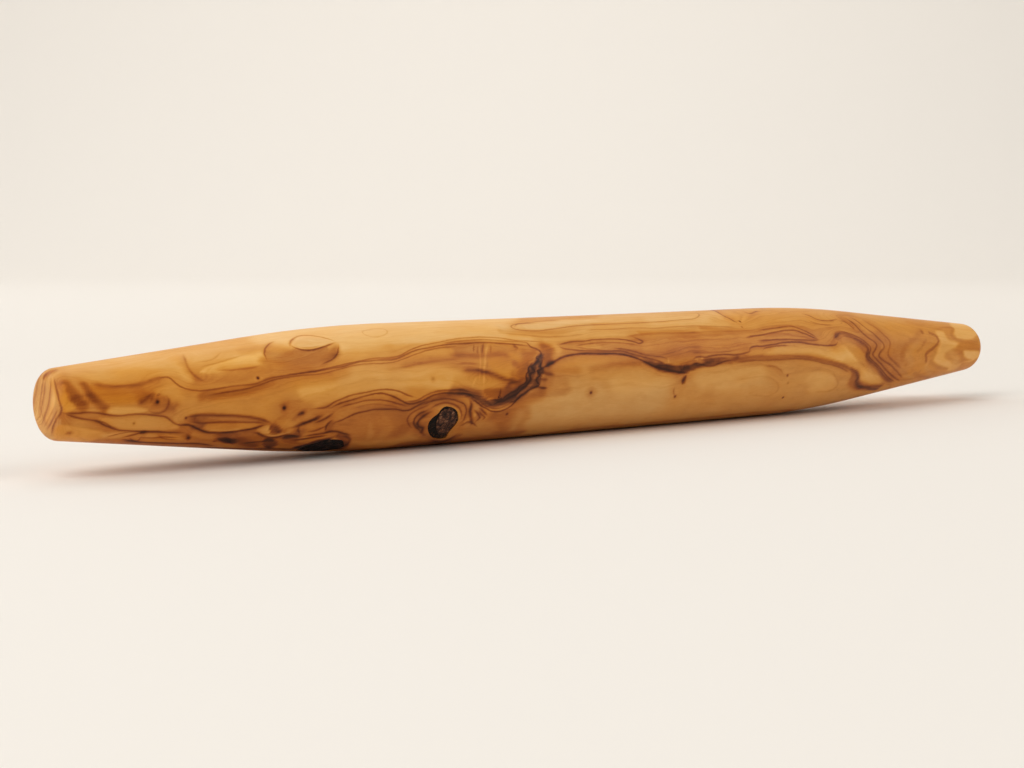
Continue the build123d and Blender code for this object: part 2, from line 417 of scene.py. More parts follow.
    "brown_dash_core": line([(474, 369.5), (480, 370.5), (487, 372), (492, 373)], 0.7, 0.4),
    # Over and round the front knot
    "knot_vein_second": line(
        [(338, 408.5), (345, 405.6), (356, 403.2), (365, 400.8), (373, 400), (380.6, 400), (388, 401.2),
         (396, 403.5), (402, 405), (407, 406.5)],
        0.3, 0.42, 0.08),
    "knot_roof": line(
        [(428, 411), (436, 405.5), (445, 403), (453, 404.5), (460, 409), (461.5, 415), (460, 421)],
        0.4, 0.42, 0.2, 1),
    "knot_roof_outer": line(
        [(420, 406), (428, 402.5), (437, 399.8), (447, 399), (456, 400.5), (464, 404), (466.5, 410),
         (465, 416), (463, 421), (458, 424)],
        0.36, 0.42, 0.2, 1),
    "thick_curl": line(
        [(468, 398), (471, 402), (471.5, 406), (470, 410), (470.3, 415), (471, 419), (472, 423),
         (470, 427)],
        0.75, 0.62, 0.2, 1),
    "curl_second": line(
        [(472.5, 409), (476, 411.5), (479, 415), (479.5, 418.5), (476, 421), (474, 424)], 0.5, 0.5, 0.2),
    "curl_third": line([(478, 406.5), (480.5, 408.5), (484, 412), (488, 416.5)], 0.55, 0.55, 0.2),
    "curl_fourth": line([(478, 409.5), (481, 414), (484.5, 418), (480, 421)], 0.4, 0.45, 0.15),
    "curl_low": line([(458, 428), (463, 424.5), (468, 422), (474, 424), (478, 428)], 0.45, 0.4, 0.2),
    "curl_pale_c": line([(474, 413), (476.5, 416.5)], 0.7, -0.3),
    "curl_pale_d": line([(463, 423.5), (467, 420.5)], 0.7, -0.3),
    # Small marks of the middle and the right arm
    "spike_foot": line([(538, 378), (543, 379.5), (549, 380)], 0.7, 0.4, 0.1),
    "rust_bar": line([(500.5, 387), (500.5, 392), (499, 396), (497.5, 399.5)], 0.4, 0.4, 0.2),
    "blob_arm": line([(700, 362), (708, 361), (716, 361.5), (724, 361.5)], 0.9, 0.32, 0.1, wild=0.3),
    "dot_pale_a": line([(667, 361), (670, 360.5)], 0.7, -0.3),
    "dot_pale_b": line([(695.5, 360.5), (698, 359.5)], 0.7, -0.3),
    "dot_pale_c": line([(701, 358.5), (704, 357.8)], 0.5, -0.3),
    # Small marks of the left
    "oval_left": line([(291, 348), (289.5, 344), (291, 340.5), (296, 337.5)], 0.5, 0.35),
    "wedge_triangle": line([(128, 437), (133, 440.5), (138, 440.5), (142, 436)], 0.4, 0.45, 0.1),
    "amber_split": line([(156, 433), (160, 437), (168, 439.5), (182, 440)], 0.4, 0.3, 0.1),
    "amber_split_right": line([(186, 433), (189, 438), (186, 442)], 0.6, 0.4, 0.1),
    "small_knot_inner": line(
        [(147, 400), (149, 395.5), (154, 394), (152, 399), (149, 405)], 0.7, 0.3, 0.2),
    "mottled_patch": line([(173, 399), (177, 403), (174, 408), (179, 412)], 1.1, 0.14, 0.2, wild=0.3),
    # Where the veins over the front knot start, and under the lens
    "start_diagonal": line(
        [(288, 429), (297, 426), (303, 423.3), (309, 421), (316, 418), (326, 413.5)], 0.8, 0.62, 0.1),
    "start_low": line([(300, 425), (298, 429.5), (300, 434.5)], 0.5, 0.5, 0.1),
    "smear_dash": line([(212, 441), (217, 441.6)], 0.5, 0.6),
    "foot_line": line([(238, 444), (250, 442.6), (262, 441.6), (270, 440.6)], 0.5, 0.6, 0.1),
    # The cracks of the crinkled band, and last marks
    "crinkle_rim": line(
        [(541, 356), (543, 360), (539.5, 364), (541, 368), (537, 371.5), (540, 375.5), (536, 379.5),
         (539.5, 384), (534, 387.5), (528, 391), (521, 396), (514, 401), (506, 405)],
        0.4, 0.55, 0.1, 1, wild=0.3),
    "crinkle_core": line(
        [(540, 354), (537, 357.5), (539, 361), (534, 364), (531, 367), (534, 371), (530.5, 375),
         (532, 379), (528, 384), (522, 389), (516, 394), (509, 398), (501, 401.5), (492, 405)],
        0.55, 0.7, 0.08, wild=0.35),
    "crinkle_left": line(
        [(535, 361), (530.5, 365), (527.5, 368.5), (529.5, 372.5), (526.5, 376), (528, 380), (523, 385),
         (516, 390), (509, 394.5), (500, 398.5), (488, 400.5)],
        0.42, 0.6, wild=0.35),
    "curl_left": line(
        [(434, 410.5), (427, 414), (421.5, 417.5), (417.5, 422), (418.5, 426.5), (423, 428), (421.5, 432),
         (425, 436)],
        0.6, 0.6, 0.2, 1),
    "curl_left_outer": line(
        [(432, 403), (424, 407), (416, 410.5), (409.5, 415), (407, 420), (409.5, 425), (413, 429)],
        0.4, 0.34, 0.1, 1),
    "crinkle_right_dash": line([(538, 388), (543, 388.3), (548, 388)], 0.35, 0.45, 0.1),
    "knot_vein_pale": line([(350, 399.7), (361.4, 397.2), (373, 395.2), (379, 394.6)], 0.45, -0.28),
    "start_streak": line(
        [(296, 426.6), (302, 424.3), (311.4, 420.8), (319, 418), (324.5, 414.8)], 0.6, 0.5, 0.15),
    "start_pale": line([(303, 422), (311, 418.4), (319, 414.6)], 0.35, -0.25),
    "start_tick": line([(297, 415.4), (300, 413.8), (304, 412.2)], 0.6, 0.5, 0.2),
}

# Small round spots: their place, radius in millimetres and how dark they are, below 0 paler
def spot(place, radius, dark, far_side=False):
    return {"place": place, "radius": radius, "dark": dark, "far_side": far_side}


SPOTS = {
    "small_knot": spot((157.5, 402), 0.62, 0.85),
    "green_dot": spot((134, 423.5), 0.5, 0.45),
    "speck_186": spot((186, 418), 0.5, 0.6),
    "speck_188": spot((188, 438), 0.8, 0.7),
    "red_dot": spot((258, 378), 0.62, 0.9),
    "second_dot": spot((284.3, 408), 0.72, 0.9),
    "greenish_dot": spot((433, 379), 0.9, 0.34),
    "start_spot": spot((303, 413), 0.7, 0.5),
    "dot_507": spot((507, 414), 0.6, 0.6),
    "drip_foot": spot((683, 381), 0.9, 0.4),
    "drip_dot": spot((675, 396.5), 0.65, 0.7),
    "halo_dot": spot((591, 392.5), 0.62, 0.8),
    "arc_dot": spot((787.5, 375.5), 0.6, 0.55),
    "arc_dot_low": spot((788, 383), 0.6, 0.3),
    "black_dot": spot((783, 397.5), 0.55, 0.9),
    "speck_740": spot((740, 321.5), 0.55, 0.8),
    "speck_742": spot((742, 327), 0.5, 0.4),
    "tip_spot": spot((922, 332), 1.1, 0.3),
    "small_knot_glow": spot((157.5, 402), 1.6, 0.3),
    "red_dot_rim": spot((258, 378), 1.3, -0.2),
    "second_dot_glow": spot((284, 406), 1.5, 0.22),
    "halo_glow": spot((591, 392.5), 1.7, 0.26),
}

# Figure of the far side: each stream is several lines that run together, a few degrees apart.
FAR_STREAMS = {
    "ridge_stream": (
        [(-150, 108), (-110, 104), (-70, 110), (-30, 118), (10, 113), (60, 106), (110, 112), (150, 108)],
        (0, 5, 8, 15), 0.4, 0.3),
    "high_stream": (
        [(-224, 138), (-190, 132), (-150, 136), (-115, 148), (-80, 152), (-45, 142), (-5, 136), (40, 144),
         (75, 156), (110, 150), (150, 138), (190, 142), (222, 150)],
        (0, 4, 9, 12, 20), 0.45, 0.5),
    "middle_stream": (
        [(-224, 182), (-190, 176), (-155, 184), (-120, 196), (-85, 190), (-50, 178), (-15, 172), (18, 174),
         (40, 168), (60, 166), (82, 170), (104, 182), (140, 190), (180, 182), (222, 186)],
        (0, 5, 8, 14), 0.4, 0.55),
    "low_stream": (
        [(-222, 226), (-180, 232), (-145, 224), (-110, 214), (-70, 222), (-35, 234), (0, 236), (30, 228),
         (58, 222), (90, 226), (130, 238), (170, 232), (222, 228)],
        (0, 5, 11, 15), 0.45, 0.5),
    "floor_stream": (
        [(-200, 262), (-150, 256), (-100, 262), (-50, 268), (0, 262), (50, 256), (100, 262), (150, 268), (200, 262)],
        (0, 6, 10), 0.35, 0.4),
}
# Small live knots of the far side, as (place, angle, size in millimetres)
FAR_EYES = {"far_eye": (62, 195, 3.2), "small_far_eye": (-132, 168, 2.0), "low_far_eye": (-28, 252, 1.6)}


def add_far_side():
    """Fills in the far side's lines from its streams and eyes."""
    chance = np.random.default_rng(5)
    round_scale = math.radians(1) * BARREL_RADIUS
    for name, (points, gaps, dark, shade) in FAR_STREAMS.items():
        for count, gap in enumerate(gaps):
            moved = [
                (x + chance.normal(0, 2), angle + gap + chance.normal(0, 0.9)) for x, angle in points
            ]
            first, last = chance.integers(0, 3), len(moved) - chance.integers(0, 3)
            strength = dark * chance.uniform(0.75, 1.25)
            width = chance.uniform(0.3, 0.75)
            way = -1 if count % 2 else 1
            LINES["%s_%d" % (name, count)] = line(
                moved[first:last], width, strength, shade * chance.uniform(0.5, 1.1), way, far_side=True)
    for name, (x, angle, size) in FAR_EYES.items():
        SPOTS[name] = spot((x, angle), size * 0.3, 0.9, far_side=True)
        for count, reach in enumerate((0.8, 1.9)):
            turn = np.arange(9) * 2 * math.pi / 9
            bulge = 1 + 0.16 * chance.normal(0, 1, 9)
            ring = [
                (x + size * reach * 2.1 * b * math.cos(t), angle + size * reach * b * math.sin(t) / round_scale)
                for t, b in zip(turn, bulge)
            ]
            LINES["%s_ring_%d" % (name, count)] = line(
                ring, 0.3 + 0.25 * count, 0.45 - 0.2 * count, 0.3, far_side=True, closed=True)


# Tones laid under the lines, in order. A wash has its points, half its width in millimetres,
# its tone from 0, pale, to 1, black, its warmth and how fully it covers. A field is a patch
# inside an outline.
def wash(points, width, tone, warmth=0.0, cover=1.0, soft=0.6, rings=None, far_side=False):
    return {
        "points": points, "width": width, "tone": tone, "warmth": warmth, "cover": cover, "soft": soft,
        "rings": rings, "far_side": far_side,
    }


def field(outline, tone, warmth=0.0, cover=1.0, edge=5.0, rings=None):
    return {
        "outline": outline, "tone": tone, "warmth": warmth, "cover": cover, "edge": edge, "rings": rings,
    }


BASE_TONE = 0.38
BASE_WARMTH = 0.0
BASE_RINGS = 0.25
TONES = {
    # Large areas
    "left_half": field(
        [(20, 340), (480, 300), (560, 352), (500, 420), (440, 470), (20, 460)], 0.38, 0.3, 1, 40),
    "top_left": field(
        [(60, 360), (190, 345), (330, 322), (440, 316), (430, 338), (330, 362), (190, 366), (70, 372)],
        0.2, -0.2, 0.9, 16),
    "pale_ridge": field(
        [(250, 338), (340, 322), (460, 316), (520, 318), (500, 330), (400, 342), (300, 352)],
        0.06, -0.2, 0.8, 10),
    "lower_left": field(
        [(180, 405), (300, 425), (420, 405), (470, 430), (440, 446), (200, 452), (60, 444), (60, 418)],
        0.52, 0.0, 1, 14),
    "lower_right": field(
        [(505, 412), (545, 372), (590, 364), (640, 368), (690, 376), (740, 364), (860, 372), (850, 388),
         (800, 410), (500, 440)],
        0.42, -0.8, 1, 12),
    "right_foot": field(
        [(480, 424), (620, 404), (760, 396), (850, 386), (850, 400), (480, 446)], 0.42, -1.0, 0.8, 14),
    "top_right": field(
        [(560, 344), (600, 322), (700, 312), (840, 308), (860, 340), (760, 352), (680, 356), (640, 346)],
        0.34, 0.0, 1, 14, rings=0.5),
    "slim_taper": field(
        [(840, 310), (940, 318), (1000, 330), (1000, 372), (900, 392), (870, 370), (850, 340)],
        0.4, 0.2, 1, 12),
    # The thick end's face
    "end_face": field(
        [(54, 368), (34, 380), (32, 402), (38, 430), (53, 440), (62, 412)], 0.4, -1.5, 1, 3),
    "end_pale": wash([(53, 380), (54, 395), (52, 408), (47, 420)], 1.2, 0.2, -0.6),
    "end_brown_top": wash([(45, 375), (49, 373), (52, 372)], 1.3, 0.72, -0.2),
    # The thick taper
    "rim_gold": field([(60, 376), (68, 384), (76, 408), (64, 411)], 0.22, 0.6, 1, 3),
    "diagonal_band": wash([(65, 376), (69, 387), (75, 398), (85, 410)], 1.8, 0.56, 0.4, 1, 0.8),
    "diagonal_core": wash([(70, 391), (75, 398), (79, 403), (84, 408)], 1.3, 0.72, 0.6, 0.85, 0.8),
    "second_band": wash([(79, 380), (86, 390), (94, 400), (103, 410)], 1.6, 0.5, 0.4, 0.8),
    "second_core": wash([(88, 393), (93, 399), (99, 404), (105, 409)], 1.3, 0.68, 0.5, 0.85, 0.8),
    "shelf_gold": wash([(80, 372), (105, 378), (150, 372), (180, 366)], 2.2, 0.3, 0.2, 0.8),
    "orange_heart": field(
        [(88, 388), (120, 387), (146, 383), (150, 391), (140, 401), (120, 406), (98, 400)],
        0.42, 1.3, 1, 7),
    "shelf_brown": wash([(100, 382), (118, 385), (140, 383)], 1.0, 0.54, 0.4, 0.7),
    "knot_gold": field([(152, 380), (170, 382), (180, 392), (170, 398), (154, 392)], 0.3, 0.3, 0.9, 4),
    "small_knot_brown": wash(
        [(146, 404), (152, 398), (160, 397), (165, 403), (160, 409), (152, 408)], 1.5, 0.58, 0.3, 0.85),
    "lens_left_pale": field(
        [(104, 411), (113, 408.5), (122, 408), (134, 409), (146, 411.5), (138, 413.5), (122, 414.5)],
        0.16, 0.1, 0.9, 3),
    "pale_run": field(
        [(100, 417), (125, 419), (160, 418), (180, 427), (150, 429), (118, 428)], 0.3, 0.1, 1, 3),
    "reddish_left": field(
        [(62, 413), (76, 418), (92, 422), (100, 427), (80, 426), (63, 421)], 0.5, -0.2, 1, 4),
    "foot_gold": field([(56, 425), (90, 429), (106, 434), (96, 440), (56, 438)], 0.34, 0.1, 1, 3),
    "pale_wedge_low": field(
        [(100, 438), (118, 432.5), (134, 431), (124, 436), (112, 439)], 0.24, -0.7, 1, 2),
    "amber_low": field([(134, 434), (170, 434), (192, 437), (160, 441.5), (136, 439)], 0.4, 0.5, 1, 3),
    # Above and below the long vein, left of the middle
    "tan_left": field(
        [(170, 398), (250, 397), (300, 390), (360, 376), (380, 378), (330, 400), (290, 412), (230, 414),
         (180, 412)],
        0.4, 0.1, 0.9, 8),
    "band_below_vein": wash(
        [(203, 397), (222, 394), (240, 391), (255, 387), (272, 381)], 1.7, 0.6, 0.4, 0.9),
    "band_run": wash([(272, 381), (300, 377), (330, 373)], 1.1, 0.48, 0.3, 0.6),
    "above_vein_brown": wash([(196, 378), (225, 379), (252, 375), (268, 368)], 1.6, 0.5, 0.3, 0.8),
    "pale_lens": field(
        [(202, 371), (209, 366.5), (222, 362.5), (240, 357), (264, 354.5), (263, 363), (245, 368),
         (226, 370.5)],
        0.04, 0.35, 1, 2),
    "oval_shade": field(
        [(278, 356), (288, 350), (306, 351.5), (325, 349.5), (337, 345), (337, 355), (330, 362),
         (318, 367), (300, 369), (282, 366)],
        0.56, -0.5, 0.95, 9),
    "oval_fill": field(
        [(292, 342), (304, 338), (320, 339), (332, 342), (320, 347), (300, 347)], 0.16, -0.6, 1, 2),
    "shade_left_of_oval": wash([(240, 352), (256, 349), (270, 346)], 1.4, 0.36, -0.2, 0.5),
    # The middle, along the long vein and down to the crinkled band
    "pale_river": field(
        [(300, 392), (340, 380), (390, 371), (440, 366), (470, 377), (460, 388), (420, 386), (380, 387),
         (340, 395), (310, 408)],
        0.2, 0.2, 1, 7),
    "brown_shelf": wash([(388, 368), (400, 366), (412, 363)], 1.3, 0.46, 0.5, 0.9),
    "brown_shelf_right": wash(
        [(408, 363), (424, 359), (440, 355.5), (462, 353)], 1.7, 0.47, 0.3, 0.9, 0.8),
    "rust_shelf": wash([(440, 351), (470, 348), (505, 350), (524, 356)], 2.0, 0.46, 0.2, 0.9, 0.8),
    "golden_heart": field(
        [(488, 357), (510, 352), (524, 360), (520, 378), (505, 378), (490, 368)], 0.36, 0.7),
    "gold_below": field(
        [(455, 377), (482, 376), (502, 384), (500, 394), (480, 392), (458, 388)], 0.3, 0.3),
    "top_of_vein": wash([(440, 334), (480, 331), (505, 334)], 1.6, 0.14, 0.0, 0.8),
    "between_vein_lines": wash([(450, 347), (480, 347), (508, 348)], 1.0, 0.45, 0.0, 0.8),
    "fleck_shade": wash([(524, 352), (530, 358), (522, 366), (522, 374)], 1.8, 0.54, 0.6, 0.8),
    "rust_triangle": field(
        [(482, 390), (500, 388), (510, 388), (504, 397), (494, 400), (484, 397)], 0.64, 0.6, 0.9, 4),
    "under_crinkle": field(
        [(492, 413), (506, 411), (522, 401), (530, 402), (522, 416), (508, 432), (492, 434), (482, 424)],
        0.62, -0.2, 0.9, 6),
    # Over and round the front knot
    "knot_vein_band": wash(
        [(336, 407), (352, 400), (370, 397), (388, 397), (402, 404)], 2.0, 0.46, 0.0, 0.8),
    "knot_vein_inner": wash([(345, 412), (362, 405), (380, 404), (400, 408)], 1.6, 0.44, 0.0, 0.8),
    "smooth_tan": field(
        [(340, 424), (362, 413), (390, 411), (410, 413), (408, 430), (416, 440), (360, 444), (348, 436)],
        0.42, -0.1, 1, 6),
    "pale_low": wash([(374, 424), (380, 432), (378, 440)], 1.6, 0.34, -0.5, 0.6),
    "rust_blob": wash([(402, 418), (404, 428)], 1.8, 0.6, -0.4, 0.8),
    "knot_surround": wash(
        [(420, 432), (419, 420), (427, 409), (442, 401), (458, 403), (467, 412), (463, 422)],
        2.2, 0.56, -0.2, 0.9),
    "dark_join": wash([(406, 405), (418, 404), (430, 400), (446, 395), (462, 393)], 1.3, 0.66, -0.3, 0.8),
    "light_curls": wash([(474, 404), (480, 411), (478, 420), (468, 424)], 1.6, 0.44, -0.9, 0.7),
    "tan_below_knot": field(
        [(462, 428), (490, 420), (500, 430), (480, 436), (458, 440)], 0.5, -0.5, 0.9, 6),
    "knot_shadow": wash([(426, 436), (440, 442), (456, 436)], 1.6, 0.66, -0.4, 0.8),
    # The lens, and what lies below it and right of it
    "lens_fill": field(
        [(200, 424), (212, 419), (240, 420), (262, 423.5), (246, 428.5), (214, 429.5)], 0.42, 0.3, 1, 2),
    "lens_grey": wash([(195, 427), (203, 426)], 1.2, 0.68, -0.8, 0.8),
    "lens_left": wash([(184, 421), (194, 419)], 1.4, 0.62, -0.3, 0.8),
    "pale_halo": field(
        [(256, 429), (262, 426.5), (269, 424.5), (269.5, 430), (265, 433), (258, 432)],
        0.2, -0.2, 0.95, 1.6),
    "brown_foot": wash([(190, 436), (230, 440), (270, 442), (300, 444)], 2.4, 0.6, 0.3, 0.85),
    "low_amber": wash([(250, 438), (275, 442), (296, 443)], 1.2, 0.6, 0.5, 0.6),
    "edge_brown": wash([(150, 445), (220, 449), (300, 452), (400, 450)], 2.4, 0.56, 0.2, 0.6),
    "pale_star": wash([(286, 422), (294, 425), (288, 430)], 1.0, 0.32, 0.0, 0.8),
    "grey_left_knot": wash([(296, 432), (302, 431)], 1.2, 0.66, -0.8, 0.7),
    "gold_step": wash([(300, 407), (316, 403), (330, 398)], 1.6, 0.34, 0.3, 0.8),
    # The top of the middle
    "pale_top": field(
        [(516, 325), (560, 320), (620, 320), (660, 320), (690, 318), (640, 322), (580, 325), (530, 329)],
        0.12, -0.8, 0.9, 4),
    "pale_top_right": field(
        [(600, 316), (690, 312), (716, 313), (724, 319), (690, 319), (640, 321), (606, 322)],
        0.2, -1.0, 0.6, 8),
    "honey_band": wash([(500, 331), (540, 333), (580, 331), (640, 326), (700, 323)], 1.3, 0.4, -0.3, 0.7),
    "pale_between": wash([(546, 341), (562, 340), (580, 337), (602, 336)], 1.3, 0.2, 0.0, 0.8),
    "pale_between_left": wash([(545, 348), (553, 346), (558, 351)], 1.4, 0.2, 0.1, 0.8),
    "island_brown": wash([(600, 346), (620, 346.5), (640, 349)], 1.5, 0.46, 0.1, 0.8),
    "island_pale": wash([(584, 346.5), (600, 346)], 0.9, 0.3, 0.1, 0.7),
    "pale_after_island": wash([(640, 339), (660, 340), (690, 341)], 1.0, 0.34, -0.2, 0.7),
    "brown_over_arch": wash(
        [(600, 356), (630, 352), (650, 353), (672, 352), (700, 350)], 1.6, 0.52, -0.1, 0.8),
    "brown_middle_top": wash([(655, 347), (690, 350), (720, 351), (745, 348)], 2.0, 0.5, 0.2, 0.7, 0.9),
    "pale_strip": wash([(660, 345), (690, 344.5), (722, 343)], 0.8, 0.32, -0.1, 0.7),
    "red_ridge": wash([(700, 309), (730, 308), (762, 309)], 1.6, 0.5, -1.5, 0.8),
    # The arch, what hangs from it and what lies under it
    "arch_purple": wash(
        [(646, 361), (656, 365.5), (668, 368), (680, 370), (688, 366), (700, 363.5), (716, 362.5)],
        1.5, 0.7, -0.4, 0.85),
    "arch_pale": wash([(590, 358.5), (612, 358), (630, 361), (642, 366)], 1.3, 0.34, -0.6, 0.8),
    "pale_breast": field(
        [(610, 376), (650, 374), (672, 378), (666, 392), (640, 398), (616, 392)], 0.24, -0.7, 0.8, 12),
    "pale_breast_right": field(
        [(694, 374), (720, 368), (750, 366), (766, 372), (760, 384), (730, 392), (700, 388)],
        0.3, -0.9, 0.8, 10),
    "left_breast": field(
        [(560, 384), (590, 378), (606, 388), (600, 404), (570, 410), (552, 402)], 0.34, -1.3, 0.8, 10),
    "under_drip": wash([(684, 376), (682, 386), (676, 396)], 1.4, 0.46, -0.6, 0.6),
    "round_ring": wash(
        [(742, 386), (756, 382), (770, 388), (762, 398), (746, 396)], 1.4, 0.42, -1.2, 0.6),
    "oval_pale_right": field(
        [(806, 376), (822, 372), (836, 378), (832, 390), (812, 392)], 0.29, -0.6, 0.75, 8),
    "brown_right_arm": wash([(712, 361), (725, 361.5), (736, 358)], 1.5, 0.6, -0.3, 0.8),
    "below_band": wash([(740, 364), (770, 363), (800, 362), (830, 367)], 1.4, 0.38, -0.7, 0.7),
    # The slim taper
    "pale_tongue": field(
        [(764, 353.5), (772, 349), (790, 346.5), (812, 347), (832, 348), (842, 345), (849, 351),
         (856, 358), (866, 366), (878, 374), (884, 381), (870, 383), (862, 380), (857, 370), (846, 364),
         (832, 358), (812, 353.5), (790, 354)],
        0.13, 0.0, 1, 2.5),
    "far_hook_brown": wash(
        [(838, 336), (848, 339), (860, 345), (866, 352), (870, 362), (880, 374), (890, 382)],
        1.4, 0.6, -0.4, 0.8),
    "loop_fill": field([(764, 337), (782, 333), (798, 333), (812, 338), (790, 338.5)], 0.5, -0.3, 1, 3),
    "stream_gap": wash([(860, 334), (870, 344), (872, 352)], 1.0, 0.38, -0.3, 0.6),
    "stream_brown": wash(
        [(872, 334), (880, 344), (877, 354), (888, 366), (898, 376)], 1.6, 0.52, -0.6, 0.8),
    "block": wash([(855, 373), (857, 380), (860, 387)], 1.5, 0.64, -0.8, 0.9),
    "black_edge": wash([(868, 389), (878, 389)], 0.9, 0.85, -0.5, 0.8),
    "ridge_amber": field([(850, 312), (890, 316), (905, 320), (896, 332), (872, 326)], 0.34, 0.0, 0.9, 6),
    "taper_grey": field([(892, 348), (906, 344), (912, 360), (904, 374), (892, 368)], 0.48, -0.6, 0.7, 6),
    # Finer patches, laid over the ones above
    "knot_gold_left": wash([(150, 383), (160, 386), (170, 392), (176, 396)], 2.2, 0.3, 0.3, 0.9, 0.8),
    "glow_left": wash([(172, 358), (180, 366), (186, 376)], 1.8, 0.16, 0.2, 0.8, 0.8),
    "shade_over_band": wash([(284, 371), (305, 368), (326, 364)], 1.0, 0.44, 0.0, 0.4),
    "brown_wedge": field(
        [(512, 380), (526, 377), (530, 384), (520, 392), (508, 396), (500, 398), (504, 390)],
        0.68, 0.0, 0.95, 4),
    "band_left_arm": wash([(455, 389), (468, 390), (478, 394)], 1.6, 0.66, -0.4, 0.85, 0.8),
    "red_arm_high": wash([(514, 364), (522, 366), (528, 364)], 1.4, 0.62, 0.4, 0.85, 0.7),
    "red_arm_low": wash([(512, 374), (520, 374), (527, 377)], 1.4, 0.62, 0.4, 0.85, 0.7),
    "red_patch_right": wash([(543, 353), (549, 357), (545, 362)], 1.2, 0.56, 0.2, 0.8, 0.7),
    "pale_gap": wash([(499, 407), (505, 406), (510, 403)], 0.8, 0.46, -0.6, 0.9),
    "gold_arch": wash(
        [(560, 364), (575, 360.5), (592, 358.5), (612, 358.5), (630, 361)], 1.9, 0.36, 0.3, 0.95, 0.7),
    "soft_band": wash(
        [(548, 372), (566, 371), (586, 369.5), (604, 366), (622, 363.5), (640, 364.5)],
        1.3, 0.48, 0.3, 0.85, 0.8),
    # Where the veins start, and over and round the lower knot
    "start_reddish": wash([(293, 418), (298, 414), (303, 412)], 0.9, 0.62, -0.3, 0.9, 0.5),
    "gold_in_bundle": field(
        [(306, 426), (314, 421), (326, 419), (330, 422), (322, 428), (308, 430)], 0.42, 0.2, 0.9, 3),
    "mauve_in_bundle": field(
        [(352, 408), (368, 405), (382, 404), (394, 407), (396, 411), (376, 408.5), (360, 411)],
        0.58, -0.6, 0.9, 3),
    "reddish_tail": wash([(331, 424), (330, 428), (327, 432)], 1.3, 0.66, -0.2, 0.9, 0.7),
    "gold_over_lower_knot": field(
        [(304, 435.5), (322, 433.5), (330, 433), (326, 437), (310, 438), (304, 437.5)],
        0.38, 0.2, 0.9, 2),
    "pale_under_gold": wash([(300, 440.5), (314, 439), (326, 437)], 0.7, 0.42, 0.2, 0.9, 0.5),
    "red_over_lower_knot": wash([(328, 436), (336, 435.5)], 1.3, 0.52, 0.1, 0.9),
    "black_wing": wash([(296, 448), (308, 445), (320, 441.5), (328, 440)], 1.6, 0.93, -0.4, 0.95, 0.5),
    "ring_of_lower_knot": wash(
        [(338, 434.5), (345, 437), (348, 441), (346, 446), (340, 449)], 1.3, 0.82, 0.0, 0.95, 0.5),
    "grey_start": wash([(286, 437.5), (292, 437), (298, 436.5)], 1.1, 0.8, -0.8, 0.9),
    # Left of the front knot, in the lens and under it
    "smooth_dark": field(
        [(330, 428), (345, 420), (362, 413), (390, 412), (410, 413), (412, 426), (404, 436), (372, 440),
         (348, 440)],
        0.57, -0.2, 0.95, 7),
    "smooth_streak": wash([(370, 424), (369.5, 432), (371, 437)], 0.9, 0.46, -0.5, 0.7),
    "smooth_streak_right": wash([(383, 420), (386, 428), (383, 436)], 2.0, 0.48, -0.2, 0.7),
    "lens_rim": wash(
        [(196, 418.5), (212, 418), (230, 418.3), (246, 419.5), (256, 421)], 0.7, 0.42, -0.6, 0.8),
    "lens_under_glow": wash([(214, 430.3), (226, 430.6), (238, 429.6)], 0.6, 0.32, -0.4, 0.8),
    "under_lens_tan": wash([(202, 434.5), (214, 435.5), (222, 434)], 1.1, 0.46, -0.2, 0.85),
    "grey_patch": field(
        [(270, 425), (274, 423.5), (279, 424.5), (281, 430), (277, 433), (270, 433.5), (267, 432)],
        0.74, -0.2, 0.95, 1.6),
    "grey_patch_heart": wash([(275, 427), (276, 431)], 0.7, 0.86, -0.2, 0.8),
    "pale_curve": wash(
        [(256, 433.5), (264, 435), (272, 435.6), (280, 434.6), (288, 431.5)], 0.55, 0.4, -0.6, 0.85, 0.5),
    "smear": wash([(222, 438.5), (228, 441), (234, 441.5)], 1.5, 0.93, -0.3, 0.95, 0.5),
    "smear_purple": wash([(223, 435.5), (231, 435), (237, 436)], 1.2, 0.76, -0.9, 0.9),
    "smear_olive": wash([(215.5, 436), (222, 436)], 0.8, 0.72, 0.8, 0.85),
    "smear_right": wash([(238, 440), (246, 443), (256, 445)], 1.8, 0.74, 0.2, 0.8, 0.7),
    "amber_cell": wash([(196, 434), (206, 437.5), (213, 437)], 1.2, 0.42, 0.2, 0.8),
    "foot_block": field(
        [(264, 441.5), (272, 440), (278, 442), (277, 447), (266, 448)], 0.82, -0.6, 0.9, 2),
    "foot_black": wash([(267, 440), (273, 440.6)], 0.8, 0.92, 0.0, 0.9),
    "red_step": wash([(245, 433), (250, 434.5)], 0.9, 0.68, -0.1, 0.85),
    # Beside the crinkled band
    # Painted highlights: grey glints along the crinkled band
    "crinkle_painted_highlight_a": wash(
        [(536, 366), (534, 371), (532, 375), (535, 380), (530, 386)], 0.5, 0.56, -1.0, 0.8),
    "crinkle_painted_highlight_b": wash([(526, 389), (516, 395), (509, 400)], 0.5, 0.58, -1.2, 0.8),
    "beside_crinkle": field(
        [(545, 357), (552, 362), (549, 370), (556, 378), (552, 388), (540, 395), (530, 400), (520, 408),
         (514, 412), (512, 407), (528, 394), (542, 388), (543, 372)],
        0.6, -0.5, 0.85, 6),
    "right_of_crinkle": field(
        [(545, 374), (566, 378), (572, 390), (556, 400), (534, 410), (520, 414), (516, 408), (536, 392)],
        0.5, -0.8, 0.8, 8),
    # The slim end and the folds of its taper
    "tip_pale": field(
        [(936, 331), (944, 331), (948, 338), (958, 342), (958, 346), (950, 350), (944, 356), (952, 363),
         (962, 363), (956, 369), (946, 371), (934, 361), (938, 350), (940, 342), (936, 336)],
        0.16, 0.1, 1, 3.5),
    "tip_pale_right": field(
